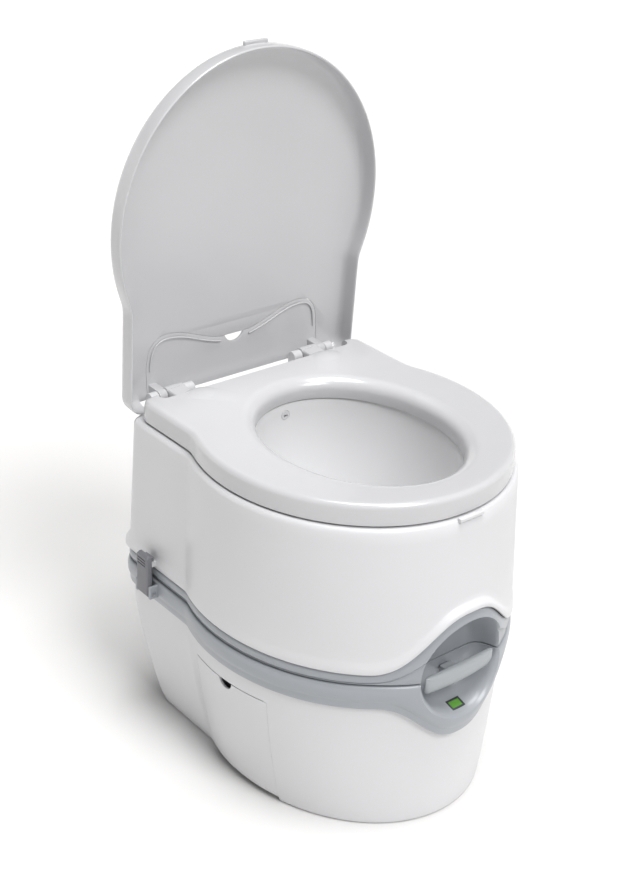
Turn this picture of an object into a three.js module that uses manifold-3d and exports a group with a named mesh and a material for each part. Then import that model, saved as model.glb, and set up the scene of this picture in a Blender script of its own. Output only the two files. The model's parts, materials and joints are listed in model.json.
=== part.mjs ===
// Portable camp toilet: a flush-water tank with bowl, seat and lid on top of a waste tank with a slide valve.
// Millimetres, +Z up, the front faces -Y. The origin is the centre of the round front body, on the floor.
import * as THREE from 'three';
import Module from 'manifold-3d';
import { mergeVertices } from 'three/addons/utils/BufferGeometryUtils.js';

const wasm = await Module();
wasm.setup();

// ---- Driving dimensions ----
const GAP = 0.35; // between pieces that touch
const WALL = 3; // moulded tank walls
const JOINT_Z = 213.5; // plane where the upper unit sits on the waste tank
const BAND_LOW = 180; // lower edge of the grey band
const BAND_HIGH = 229; // upper edge of the grey band
const LEDGE_Z = 408.9; // top of the flush tank
const SEAT_TOP = 437.2;
const LID_EDGE = 412.9; // free edge of the closed lid
const LID_TOP = 446.5;
const HINGE = { y: 209.4, z: 421.2, pin: 4 }; // common axis of seat and lid
const LID_OPEN = THREE.MathUtils.degToRad(87.34);
const HINGE_X = 105; // middle of each seat arm
const PANEL_NOTCH = 15; // radius of the finger notch in the hinge panel's edge
const TROUGH_Y = 196; // the flush tank's top steps down behind this
const TROUGH_Z = 399;
const OUTLET = { y: 20, r: 44 }; // bowl outlet and slide valve
const BLADE_Z = 199.3; // middle of the slide valve blade
const RISE = { height: 64, reach: 120 }; // how far the band's upper edge bows up over the dish
const DROP = { height: 56, reach: 110 }; // how far its lower edge bows down under the dish
const SWELL = { depth: 5, flat: 50, reach: 115 }; // the band stands further out round the dish
const SEAM = 0.6; // between the band's edges and the tanks
const STEP = 4.2; // depth of the step in the tanks that the band sits in
const OUTSIDE = 230; // beyond every side wall, where cuts start
const DISH = { z: 218, halfWidth: 64, halfHeight: 66, front: -226, curve: 13, back: -184, wall: 2.6 };
const POCKET = { clear: 4.5, back: -172 }; // room in the tanks for the back of the dish
const BAR = { halfWidth: 53, low: 192.5, high: 217, front: -217.5, thick: 12 };
const WINDOW = { y: -209.5, z: 159, halfWidth: 8.75, halfLength: 5.85, tilt: 16 }; // on the dish's lower ramp
const DRUM = { y: -208, z: 150.6, r: 5.2, arm: 118, rest: 12 }; // level indicator, arm hanging 12 degrees
const DOOR = { front: -79, rear: 47, low: 8, high: 158, pinX: -148, pinZ: 22, notch: 11 };
const ROLL_BOX = { inner: -62, front: -72, rear: 40, low: 16, high: 156 };
const SPINDLE = { x: -112, z: 88 };
const LATCH = { x: 188, y: 149, width: 23, pivotZ: 198, top: 251 };
const SPOUT = { x: 112, y: 190, z: 148, r: 16, bore: 13, length: 118 };
const VENT = { x: -105, z: 148, r: 9 };
const PUMP = { y: 146, z: 352, r: 24 };
const FILLER = { x: -92, z: 345, bore: 22 };

// ---- Colours ----
function paint(color, roughness, metalness = 0) {
  return new THREE.MeshStandardMaterial({ color, roughness, metalness });
}
const WHITE = paint(0xe9e9ea, 0.3);
const BOWL_WHITE = paint(0xf3f3f4, 0.15);
const GREY = paint(0xb4b8bb, 0.4);
const HANDLE_GREY = paint(0xbcc0c3, 0.35);
const LATCH_GREY = paint(0x616267, 0.45);
const BLACK = paint(0x222325, 0.6);
const GREEN = paint(0x5f9a3c, 0.5);
const CLEAR = paint(0xcfe3d0, 0.1);
const STEEL = paint(0xb9bcc0, 0.3, 1);
const FOAM = paint(0xd8cfb8, 0.8);

// ---- Solids ----
function toSolid(geometry) {
  const bare = geometry.index ? geometry.toNonIndexed() : geometry.clone();
  bare.deleteAttribute('normal');
  bare.deleteAttribute('uv');
  const merged = mergeVertices(bare, 1e-4);
  return new wasm.Manifold(new wasm.Mesh({
    numProp: 3,
    vertProperties: new Float32Array(merged.attributes.position.array),
    triVerts: new Uint32Array(merged.index.array),
  }));
}

function toGeometry(solid) {
  const mesh = solid.getMesh();
  const geometry = new THREE.BufferGeometry();
  geometry.setAttribute('position', new THREE.BufferAttribute(Float32Array.from(mesh.vertProperties), 3));
  geometry.setIndex(new THREE.BufferAttribute(Uint32Array.from(mesh.triVerts), 1));
  return geometry;
}

const placed = (geometry, x, y, z) => toSolid(geometry.translate(x, y, z));

function box(x0, x1, y0, y1, z0, z1) {
  const geometry = new THREE.BoxGeometry(x1 - x0, y1 - y0, z1 - z0);
  return placed(geometry, (x0 + x1) / 2, (y0 + y1) / 2, (z0 + z1) / 2);
}

// A cylinder of radius r along an axis, from a to b on that axis, centred on the other two coordinates.
function rod(axis, r, a, b, centre, sides = 20) {
  const geometry = new THREE.CylinderGeometry(r, r, Math.abs(b - a), sides);
  const middle = (a + b) / 2;
  if (axis === 'x') return placed(geometry.rotateZ(Math.PI / 2), middle, centre[0], centre[1]);
  if (axis === 'y') return placed(geometry, centre[0], middle, centre[1]);
  return placed(geometry.rotateX(Math.PI / 2), centre[0], centre[1], middle);
}

const join = (first, ...rest) => rest.reduce((sum, solid) => sum.add(solid), first);
const cut = (first, ...rest) => rest.reduce((sum, solid) => sum.subtract(solid), first);

// A closed body through rings of equal length, lowest first, each a list of Vector3 running counter-clockwise
// seen from above. Both ends are capped flat, or the last ring is joined to the first.
function loft(rings, closed = false) {
  const count = rings[0].length;
  const positions = [];
  const triangle = (a, b, c) => positions.push(...a.toArray(), ...b.toArray(), ...c.toArray());
  const side = (low, high) => {
    for (let i = 0; i < count; i += 1) {
      const j = (i + 1) % count;
      triangle(low[i], low[j], high[j]);
      triangle(low[i], high[j], high[i]);
    }
  };
  for (let k = 0; k + 1 < rings.length; k += 1) side(rings[k], rings[k + 1]);
  const flat = (ring) => ring.map((p) => new THREE.Vector2(p.x, p.y));
  const last = rings[rings.length - 1];
  const cap = (ring) => THREE.ShapeUtils.triangulateShape(flat(ring), []);
  if (closed) {
    side(last, rings[0]);
  } else {
    for (const [a, b, c] of cap(rings[0])) triangle(rings[0][a], rings[0][c], rings[0][b]);
    for (const [a, b, c] of cap(last)) triangle(last[a], last[b], last[c]);
  }
  const geometry = new THREE.BufferGeometry();
  geometry.setAttribute('position', new THREE.Float32BufferAttribute(positions, 3));
  return toSolid(geometry);
}

// ---- Plan outlines ----
const { clamp, smoothstep, smootherstep, lerp: mix } = THREE.MathUtils;
const FRONT = { step: 12, count: 10, coarse: 6 }; // plan points 12 mm apart across the front, coarser beyond
const CORNER_STEPS = 3;

// Angles of the plan's points round the front, from one side of the rear stub to the other.
function frontAngles(a, start) {
  const step = Math.min(FRONT.step, (0.75 * a) / FRONT.count);
  const edge = Math.asin((step * FRONT.count) / a);
  const middle = Array.from({ length: 2 * FRONT.count + 1 }, (_, i) => {
    const x = (i - FRONT.count) * step;
    return Math.asin(x / a);
  });
  const beyond = Array.from({ length: FRONT.coarse }, (_, i) => mix(edge, start, (i + 1) / FRONT.coarse));
  return [...beyond.toReversed().map((t) => -t), ...middle, ...beyond];
}

// The keyhole plan: a round front with half-width a and front reach b, and a narrower rear stub of half-width
// w that ends at y = rear with corners of radius r. inset shrinks it evenly.
const BACK_REACH = 1.086; // of the round part behind its centre, as a share of its half-width
function keyhole({ a, b, w, rear, r = 35, y0 = -0.9, z = 0 }, inset = 0) {
  const A = a - inset;
  const B = b - inset;
  const C = BACK_REACH * a - inset;
  const W = w - inset;
  const corner = Math.max(r - inset, 2);
  const end = rear - inset;
  const start = Math.PI - Math.asin(Math.min(W / A, 0.999));
  const points = frontAngles(A, start).map((t) => {
    const reach = Math.cos(t) > 0 ? B : C;
    return new THREE.Vector3(A * Math.sin(t), y0 - reach * Math.cos(t), z);
  });
  for (const side of [1, -1]) {
    for (let i = 0; i <= CORNER_STEPS; i += 1) {
      const step = side > 0 ? i : CORNER_STEPS - i;
      const t = (Math.PI / 2) * (step / CORNER_STEPS);
      points.push(new THREE.Vector3(
        side * (W - corner + corner * Math.cos(t)), end - corner + corner * Math.sin(t), z));
    }
  }
  return points;
}

// The waste tank's plan at height z: it swells quickly above the floor and is nearly upright under the band.
function wastePlan(z) {
  const f = 1 - (1 - Math.min(z / BAND_LOW, 1)) ** 1.45;
  return {
    a: mix(161.3, 190.5, f), b: mix(201.1, 211, f), y0: mix(-7.9, -0.9, f),
    w: mix(148.8, 177.5, f), rear: mix(194, 218, f), z,
  };
}

// The flush tank's plan at height z, from the band up to the ledge under the seat.
function flushPlan(z) {
  const f = (LEDGE_Z - z) / (LEDGE_Z - BAND_HIGH);
  return { a: mix(190, 193, f), b: mix(204.2, 221, f), w: mix(173.45, 178, f), rear: mix(218, 225, f), z };
}

const BAND_PLAN = { a: 190.5, b: 216, w: 177.5, rear: 222 };
const LIP_PLAN = { a: 194, b: 222.5, w: 180.5, rear: 231 };
const LID_PLAN = { a: 190.5, b: 204.4, w: 173, rear: 223.7, r: 20 };
const atHeight = (plan, z, inset = 0) => keyhole({ ...plan, z }, inset);

// The band's edges bow away from each other round the dish, and the band swells out there.
const bowed = (x, { height, reach }) => height * (1 - smootherstep(Math.abs(x), 0, reach));
const rise = (share) => (x) => share * bowed(x, RISE);
const drop = (share) => (x) => -share * bowed(x, DROP);
const swell = (x) => SWELL.depth * (1 - smoothstep(Math.abs(x), SWELL.flat, SWELL.reach));

// A plan ring whose front is moved up or down by shift(x), with the plan taken at each point's own height.
function bowedRing(planAt, z, shift, inset = 0, swollen = 0) {
  return keyhole(planAt(z), inset).map((p, i) => {
    if (p.y > 0) return p;
    return keyhole(planAt(z + shift(p.x)), inset - swollen * swell(p.x))[i];
  });
}
const bandPlan = (z) => ({ ...BAND_PLAN, z });
const lipPlan = (z) => ({ ...LIP_PLAN, z });

// An oval of half-width a and half-height c in the XZ plane, extruded along Y through [y, scale] stations,
// deepest (largest y) first.
function ovalAlongY(a, c, zMid, stations, steps = 28) {
  const rings = stations.map(([y, k]) => Array.from({ length: steps }, (_, i) => {
    const t = (2 * Math.PI * i) / steps;
    return new THREE.Vector3(k * a * Math.cos(t), k * c * Math.sin(t), -y);
  }));
  return loft(rings).rotate([90, 0, 0]).translate([0, 0, zMid]);
}

// Room for the back of the dish, the same in both tanks.
function dishPocket(grow) {
  const { clear, back } = POCKET;
  return ovalAlongY(DISH.halfWidth + clear + grow, DISH.halfHeight + clear + grow, DISH.z,
    [[back + grow, 1], [-260, 1]]);
}

// ---- Lower unit ----
const wasteDrop = (z) => drop(clamp((z - 60) / (BAND_LOW - 60), 0, 1));
const wasteOuter = () => loft([
  atHeight(wastePlan(0), 0, 4), atHeight(wastePlan(4), 4),
  ...[45, 100, 145, BAND_LOW].map((z) => bowedRing(wastePlan, z, wasteDrop(z))),
  bowedRing(bandPlan, BAND_LOW + 0.1, drop(1), STEP), atHeight(BAND_PLAN, JOINT_Z - 0.8, STEP)]);

const wasteInner = () => loft([
  atHeight(wastePlan(WALL), WALL, WALL + 1),
  ...[60, 120, 172].map((z) => bowedRing(wastePlan, z, wasteDrop(z), WALL)),
  atHeight(BAND_PLAN, JOINT_Z - 4.8, STEP + WALL)]);

const doorBlock = (grow) => box(-OUTSIDE, -80, DOOR.front - grow, DOOR.rear + grow, DOOR.low - grow,
  DOOR.high + grow);
const doorRebate = (grow, depth) => doorBlock(grow).subtract(wasteOuter().translate([depth, 0, 0]));
// Room at the foot of the door for its lower edge to swing inwards as the top comes out.
const swingRoom = (grow) => box(-OUTSIDE, DOOR.pinX + 9 + grow, DOOR.front - GAP - grow,
  DOOR.rear + GAP + grow, -10, DOOR.pinZ + 4 + grow);
const rollSpace = (grow) => box(-OUTSIDE, ROLL_BOX.inner + grow, ROLL_BOX.front - grow, ROLL_BOX.rear + grow,
  ROLL_BOX.low - grow, ROLL_BOX.high + grow);
const spoutSpace = (grow) => box(-42 - grow, 140 + grow, 170 - grow, 260, 110 - grow, 170 + grow);
const windowSpace = (grow) => box(-WINDOW.halfWidth - 1.8 - grow, WINDOW.halfWidth + 1.8 + grow, -OUTSIDE,
  POCKET.back + GAP + grow, 136.6 - grow, 163.4 + grow);
const rodSlot = (y0, y1) => box(-6.5, 6.5, y0, y1, BLADE_Z - 2.1, BLADE_Z + 2.1);

function wasteTank() {
  const pocket = join(dishPocket(0), windowSpace(0), rollSpace(WALL + GAP), spoutSpace(0),
    doorRebate(GAP, 10), swingRoom(0));
  const keep = join(dishPocket(WALL), windowSpace(WALL), rollSpace(2 * WALL + GAP), spoutSpace(WALL),
    doorRebate(5, 14), swingRoom(WALL + 2));
  const skin = cut(wasteOuter(), cut(wasteInner(), keep));
  const ventHole = rod('y', VENT.r + GAP, 190, 240, [VENT.x, VENT.z]);
  const throat = rod('z', OUTLET.r + 10, JOINT_Z - 8, JOINT_Z + 5, [0, OUTLET.y], 28);
  const armHole = windowSpace(0).translate([0, 20, 0]);
  const spoutHole = rod('z', SPOUT.bore, 100, 112, [SPOUT.x, SPOUT.y]);
  const pinHole = rod('y', 2.5 + GAP, DOOR.front - 4.4, DOOR.rear + 4.4, [DOOR.pinX, DOOR.pinZ], 12);
  return cut(skin, pocket, ventHole, throat, rodSlot(-190, -140), armHole, spoutHole, pinHole);
}

// The dish in the front of the band, as the solid that cuts it: [share of the way back, share of its size].
const DISH_STATIONS = [
  [1, 0.7], [0.82, 0.8], [0.524, 0.87], [0.262, 0.917], [0.08, 0.965], [0, 1], [-0.3, 1.06]];
const dishRim = (x) => DISH.front + DISH.curve * (x / DISH.halfWidth) ** 2;
function dish(grow) {
  const ring = (depth, k, flat) => Array.from({ length: 32 }, (_, i) => {
    const t = (2 * Math.PI * i) / 32;
    const x = (k * DISH.halfWidth + grow) * Math.cos(t);
    const y = flat ?? mix(dishRim(x), DISH.back + grow, depth);
    return new THREE.Vector3(x, (k * DISH.halfHeight + grow) * Math.sin(t), -y);
  });
  const rings = DISH_STATIONS.map(([depth, k]) => ring(depth, k));
  return loft([...rings, ring(-1, 1.06, -262)]).rotate([90, 0, 0]).translate([0, 0, DISH.z]);
}

// One half of the grey band: a hoop in the tanks' step with its half of the dish. stations are outer rings as
// [height, bow, how far proud, share of the swell]; far is a height beyond the bowed edge.
function trimHalf(stations, far) {
  const outer = stations.map(([z, shift, proud, swollen]) => bowedRing(bandPlan, z, shift, -proud, swollen));
  const [z0, shift0] = stations[0];
  const [z1, shift1] = stations[stations.length - 1];
  const inset = STEP - GAP;
  const inner = [bowedRing(bandPlan, z1, shift1, inset), bowedRing(bandPlan, z0, shift0, inset)];
  const hoop = loft([...outer, ...inner], true);
  const flat = atHeight(BAND_PLAN, far, -1);
  const solid = loft(far < z0 ? [flat, ...outer] : [...outer, flat]);
  return join(hoop, dish(DISH.wall).intersect(solid));
}

const mirrored = (solid) => solid.mirror([1, 0, 0]);
const bothSides = (solid) => join(solid, mirrored(solid));

function trimLower() {
  const whole = trimHalf([
    [BAND_LOW + SEAM, drop(1), 0.6, 0], [BAND_LOW + 2, drop(1), 2, 0.1],
    [BAND_LOW + 11, drop(0.98), 2.2, 0.3], [BAND_LOW + 14, drop(0.98), 4, 0.6],
    [BAND_LOW + 22, drop(0.9), 5, 0.8], [JOINT_Z - 3, drop(0.06), 4, 0.9], [JOINT_Z - 1, drop(0), 2.5, 0.9],
  ], 100);
  const half = LATCH.width / 2;
  const ear = (y) => box(179, 193.5, y - 2, y + 2, BAND_LOW + 12, JOINT_Z - 4);
  const ears = bothSides(join(ear(LATCH.y - half - 2.5), ear(LATCH.y + half + 2.5)));
  const latchRoom = bothSides(
    box(181.2, 210, LATCH.y - half - GAP, LATCH.y + half + GAP, BAND_LOW - 5, JOINT_Z + 5));
  const pinHoles = bothSides(rod('y', 2.5 + GAP, LATCH.y - 20, LATCH.y + 20, [LATCH.x, LATCH.pivotZ], 14));
  const hardware = box(-WINDOW.halfWidth - GAP, WINDOW.halfWidth + GAP, -215.6, -160, 139, 157.2);
  return cut(join(whole, ears), dish(0), pinHoles, latchRoom, hardware, windowBlock(GAP, -6, 12),
    rodSlot(-215, -160));
}

function trimUpper() {
  const whole = trimHalf([
    [JOINT_Z + 1, rise(0), 1.2, 0.9], [JOINT_Z + 3, rise(0.12), 2.6, 1],
    [BAND_HIGH - 3, rise(0.93), 2.4, 0.4], [BAND_HIGH - SEAM, rise(1), 1, 0],
  ], 310);
  return cut(whole, dish(0));
}

function rollBox() {
  const mouth = cut(rollSpace(WALL), rollSpace(0)).intersect(wasteOuter().translate([11, 0, 0]));
  const spindleHole = rod('y', 5 + GAP, ROLL_BOX.front - 10, ROLL_BOX.rear + 10, [SPINDLE.x, SPINDLE.z], 16);
  const pinNotch = rod('y', 2.5 + GAP, ROLL_BOX.front - 10, ROLL_BOX.rear + 10, [DOOR.pinX, DOOR.pinZ], 12);
  return cut(mouth, spindleHole, pinNotch, swingRoom(GAP));
}

function rollDoor() {
  const panel = doorBlock(0).intersect(wasteOuter()).subtract(wasteOuter().translate([3.2, 0, 0]));
  const notch = rod('x', DOOR.notch, -230, -100, [(DOOR.front + DOOR.rear) / 2, DOOR.high], 20);
  const arm = (y) => box(-170, DOOR.pinX + 5, y, y + 6, DOOR.pinZ - 5, DOOR.pinZ + 5).intersect(wasteOuter());
  const bore = rod('y', 2.5 + GAP, -150, 120, [DOOR.pinX, DOOR.pinZ], 12);
  return cut(join(panel, arm(ROLL_BOX.front + 4), arm(ROLL_BOX.rear - 10)), notch, bore);
}

function valveHousing() {
  const half = OUTLET.r + 18;
  const block = box(-half, half, -156, 88, BLADE_Z - 7, JOINT_Z - 5.2);
  const slot = box(-half + 6, half - 6, -150, 82, BLADE_Z - 2.2, BLADE_Z + 2.2);
  const hole = rod('z', OUTLET.r + 1, 150, 230, [0, OUTLET.y], 28);
  return cut(block, slot, hole, rodSlot(-170, -140));
}

// The pull rod is a flat strip whose T-shaped end hooks into the blade.
const rodShape = (grow, front) => join(
  box(-5.5 - grow, 5.5 + grow, front, -18, BLADE_Z - 1.5 - grow, BLADE_Z + 1.5 + grow),
  box(-12 - grow, 12 + grow, -24 - grow, -17 + grow, BLADE_Z - 1.5 - grow, BLADE_Z + 1.5 + grow));

function valveBlade() {
  const half = OUTLET.r + 10;
  const plate = join(rod('z', half, BLADE_Z - 1.7, BLADE_Z + 1.7, [0, OUTLET.y], 28),
    box(-half, half, OUTLET.y - 52, OUTLET.y, BLADE_Z - 1.7, BLADE_Z + 1.7));
  return cut(plate, rodShape(GAP, -60));
}

// The pull bar across the dish: a shallow arch whose ends stay clear of the dish walls.
function valveHandle() {
  const steps = 10;
  const across = Array.from({ length: steps + 1 }, (_, i) => mix(-BAR.halfWidth, BAR.halfWidth, i / steps));
  const bow = (x, depth) => depth * (x / BAR.halfWidth) ** 2;
  const outline = [
    ...across.map((x) => new THREE.Vector2(x, BAR.front + bow(x, 4.5))),
    ...across.toReversed().map((x) => new THREE.Vector2(x, BAR.front + BAR.thick - bow(x, 1)))];
  const ring = (z, shift, k) => outline.map((p) => new THREE.Vector3(k * p.x, p.y + shift, z));
  const bar = loft([
    ring(BAR.low, 3, 0.94), ring(BAR.low + 6, 1, 0.97), ring(BAR.high - 3, 0, 1), ring(BAR.high, 2, 1)]);
  const boss = box(-9, 9, BAR.front + 8, -186.8, BLADE_Z - 5, BLADE_Z + 5);
  return cut(join(bar, boss), rodShape(GAP, -203));
}

// The sloping block under the window's face, grown all round, between two depths below the face.
function windowBlock(grow, above, below) {
  const { y, z, halfWidth: w, halfLength: l, tilt } = WINDOW;
  const level = box(-w - grow, w + grow, -l - grow, l + grow, -below, -above);
  return level.rotate([tilt, 0, 0]).translate([0, y, z]);
}

// The indicator's clear cup: its face lies in the dish's ramp and it is open towards the inside of the tank.
function levelWindow() {
  const w = WINDOW.halfWidth;
  const inside = w - 1.5;
  const cup = join(windowBlock(0, -0.3, 8), box(-w, w, -215.2, -190, 139.5, 155),
    box(-w, w, -204.6, -190, 150, 156.8), box(-w, w, -190.5, -166, 137, 162),
    box(-w - 1.4, w + 1.4, -171.2, -169, 137, 163));
  const room = join(windowBlock(-1.5, 1.2, 9), box(-inside, inside, -213.7, -160, 141, 153.8),
    box(-inside, inside, -203.5, -160, 150, 155.4), box(-inside, inside, -189, -160, 138.5, 160.6));
  return cut(cup, room, rod('x', 1.5 + GAP, -30, 30, [DRUM.y, DRUM.z], 12));
}

// The green drum behind the window, with its float arm hanging at rest.
function levelDrum() {
  const { y, z, r, arm: reach, rest } = DRUM;
  const w = WINDOW.halfWidth;
  const drum = join(rod('x', r, -w + 2.2, w - 2.2, [y, z], 20), rod('x', 1.5, -w + 0.4, w - 0.4, [y, z], 12));
  const arm = join(box(-2, 2, 4, reach, -1.5, 1.5), box(-2, 2, reach - 4, reach, -6, 1.5));
  return join(drum, arm.rotate([-rest, 0, 0]).translate([0, y, z]));
}

const floatBlock = () => rod('x', 15, -22, 22, [-94, 104], 18);

function spout() {
  const { x, y, z, r, bore, length } = SPOUT;
  const outer = join(rod('z', r, 113.4, z, [x, y], 24), rod('x', r, x, x - length, [y, z], 24),
    placed(new THREE.SphereGeometry(r, 24, 12), x, y, z));
  const inner = join(rod('z', bore, 105, z, [x, y], 20), rod('x', bore, x, x - length - 4, [y, z], 20),
    placed(new THREE.SphereGeometry(bore, 20, 10), x, y, z));
  return cut(outer, inner);
}

function spoutCap() {
  const { x, y, z, r, length } = SPOUT;
  const end = x - length;
  const cup = cut(rod('x', r + 3.4, end - 6, end + 14, [y, z], 24),
    rod('x', r + GAP, end - GAP, end + 20, [y, z], 24));
  return join(cup, box(end - 14, end - 5, y - 2.5, y + 2.5, z - 11, z + 11));
}

// ---- Upper unit ----
const flushRise = (z) => rise(clamp((360 - z) / 125, 0, 1));
const flushOuter = () => loft([
  atHeight(BAND_PLAN, JOINT_Z + 1, STEP), bowedRing(bandPlan, BAND_HIGH, rise(1), STEP),
  bowedRing(lipPlan, BAND_HIGH + 0.1, rise(1), 2.5), bowedRing(lipPlan, BAND_HIGH + 2.5, rise(1)),
  bowedRing(lipPlan, BAND_HIGH + 6, rise(1), 0.4),
  ...[BAND_HIGH + 18, 300, 360, LEDGE_Z - 4].map((z) => bowedRing(flushPlan, z, flushRise(z))),
  atHeight(flushPlan(LEDGE_Z), LEDGE_Z, 3)]);

const flushInner = () => loft([
  atHeight(BAND_PLAN, JOINT_Z + 4.5, STEP + WALL), bowedRing(bandPlan, BAND_HIGH, rise(1), STEP + WALL),
  ...[BAND_HIGH + 8, 320, LEDGE_Z - 3.4].map((z) => bowedRing(flushPlan, z, flushRise(z), WALL + 0.5))]);

const BOWL = { y: -14, halfWidth: 126, reach: 150 };
function bowlRing(z, halfWidth, reach, y, steps = 24) {
  return Array.from({ length: steps }, (_, i) => {
    const t = (2 * Math.PI * i) / steps;
    return new THREE.Vector3(halfWidth * Math.cos(t), y + reach * Math.sin(t), z);
  });
}

// The funnel's inside, from the outlet up to the rim; grow makes it wider for the outside.
const bowlFunnel = (grow, low, high) => loft([
  bowlRing(low, OUTLET.r + grow, OUTLET.r + grow, OUTLET.y),
  bowlRing(JOINT_Z + 14, OUTLET.r + grow, OUTLET.r + grow, OUTLET.y),
  bowlRing(270, 66 + grow, 74 + grow, 12), bowlRing(320, 88 + grow, 104 + grow, 0),
  bowlRing(365, 104 + grow, 126 + grow, -10), bowlRing(395, 111 + grow, 134 + grow, -13),
  bowlRing(high, 113 + grow, 136 + grow, BOWL.y)]);

function flushTank() {
  const troughKeep = box(-230, 230, TROUGH_Y - 4, 260, TROUGH_Z - 4, 440);
  const pumpKeep = box(166, 230, PUMP.y - 32, PUMP.y + 32, PUMP.z - 32, PUMP.z + 32);
  const fillerKeep = rod('y', 34, 206, 240, [FILLER.x, FILLER.z], 24);
  const skin = cut(flushOuter(), cut(flushInner(), dishPocket(WALL), troughKeep, pumpKeep, fillerKeep));
  const bowlHole = loft([bowlRing(LEDGE_Z - 20, 120, 143, BOWL.y), bowlRing(LEDGE_Z + 5, 120, 143, BOWL.y)]);
  const outletHole = rod('z', OUTLET.r + 10, JOINT_Z - 5, JOINT_Z + 12, [0, OUTLET.y], 28);
  const trough = box(-230, 230, TROUGH_Y, 260, TROUGH_Z, 440);
  const pumpHole = rod('x', PUMP.r + GAP, 150, 230, [PUMP.y, PUMP.z], 24);
  const pumpRecess = rod('x', PUMP.r + 5, 174, 230, [PUMP.y, PUMP.z], 24);
  const fillerHole = rod('y', FILLER.bore, 190, 240, [FILLER.x, FILLER.z], 24);
  const fillerRecess = rod('y', FILLER.bore + 8, 212, 260, [FILLER.x, FILLER.z], 24);
  const strikes = [1, -1].map((s) => box(...span(s, 178, 185.5), LATCH.y - 9, LATCH.y + 9, 233, 240));
  const tab = box(-18, 18, -207.5, -201.5, LEDGE_Z - 3, LEDGE_Z + 1.6);
  const tank = cut(skin, dishPocket(0), bowlHole, outletHole, trough, pumpHole, pumpRecess, fillerHole,
    fillerRecess);
  return join(tank, tab, ...strikes);
}

function bowl() {
  const top = LEDGE_Z + 1.7;
  const rim = (z) => bowlRing(z, BOWL.halfWidth, BOWL.reach, BOWL.y);
  const flange = loft([rim(LEDGE_Z + GAP), rim(top)]);
  const foot = rod('z', OUTLET.r + 16, JOINT_Z + 6.2, JOINT_Z + 9, [0, OUTLET.y], 24);
  const nozzleHole = rod('y', 6 + GAP, 80, 160, [0, 396], 16);
  const outside = join(bowlFunnel(3.5, JOINT_Z + 1.3, top), flange, foot);
  return cut(outside, bowlFunnel(0, JOINT_Z, top + 1), nozzleHole);
}

const HOLE = { y: -15, halfWidth: 110, reach: 136 };
const SEAT_PLAN = { a: 185, b: 199, w: 168, rear: 190, r: 14 };
function seat() {
  const plan = (z, inset) => atHeight(SEAT_PLAN, z, inset);
  const outer = loft([plan(411.2, 0.4), plan(413, 0), plan(431.5, 0.2), plan(435.5, 1.8), plan(SEAT_TOP, 6)]);
  const rearCut = box(-146, 146, 173, 230, 400, 450);
  const holeRing = (z, grow) => bowlRing(z, HOLE.halfWidth + grow, HOLE.reach + grow, HOLE.y);
  const hole = loft([holeRing(405, 0), holeRing(424, 0), holeRing(433, 4), holeRing(SEAT_TOP + 1, 15.5)]);
  const hollowOuter = loft([plan(405, 3.4), plan(432.5, 4.5)]);
  const hollowInner = loft([holeRing(400, 4), holeRing(422, 4), holeRing(434, 18.5)]);
  const rearKeep = box(-200, 200, 169, 230, 400, 450);
  const shell = cut(outer, hole, cut(hollowOuter, hollowInner, rearKeep), rearCut);
  const arms = [1, -1].map((s) => join(
    box(s * HINGE_X - 13, s * HINGE_X + 13, 160, HINGE.y, HINGE.z - 6, HINGE.z + 8),
    rod('x', 9, s * HINGE_X - 13, s * HINGE_X + 13, [HINGE.y, HINGE.z], 20)));
  const bores = rod('x', HINGE.pin + GAP, -160, 160, [HINGE.y, HINGE.z], 16);
  return cut(join(shell, ...arms), bores);
}

// The range of x between a and b on one side of the middle, lowest first.
const span = (side, a, b) => [Math.min(side * a, side * b), Math.max(side * a, side * b)];

function hingeBlock(side) {
  const post = (x0, x1) => {
    const [from, to] = span(side, x0, x1);
    return join(box(from, to, HINGE.y - 8, HINGE.y + 7, TROUGH_Z + GAP, HINGE.z),
      rod('x', 7.5, from, to, [HINGE.y - 0.5, HINGE.z], 18));
  };
  const [low, high] = span(side, 78, 142);
  const base = box(low, high, HINGE.y - 10, HINGE.y + 7, TROUGH_Z + GAP, TROUGH_Z + 4.5);
  const bore = rod('x', HINGE.pin + 0.05, ...span(side, 80, 140), [HINGE.y, HINGE.z], 16);
  return cut(join(base, post(78, 91.4), post(130.6, 142)), bore);
}

const hingePin = (side) => rod('x', HINGE.pin - 0.3, ...span(side, 80.4, 139.6), [HINGE.y, HINGE.z], 16);

// The closed lid: a shallow tray with a skirt, open at the rear between the hinges.
function lidSolid() {
  const plan = (z, inset) => atHeight(LID_PLAN, z, inset);
  const outer = loft([plan(LID_EDGE, 0), plan(430, 0.3), plan(435.5, 1.6), plan(439, 4.4), plan(441.5, 10),
    plan(444, 24), plan(LID_TOP, 74)]);
  const inner = loft([plan(LID_EDGE - 2, 3), plan(429, 3.3), plan(433.5, 4.4), plan(436.5, 7),
    plan(438.4, 12), plan(440.8, 30), plan(LID_TOP - 3.2, 76)]);
  const rearOpening = box(-146, 146, 190, 240, 400, 437.5);
  const tab = box(-17, 17, -212, -203, 428, 432.5);
  return cut(join(outer, tab.subtract(inner)), inner, rearOpening);
}

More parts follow.
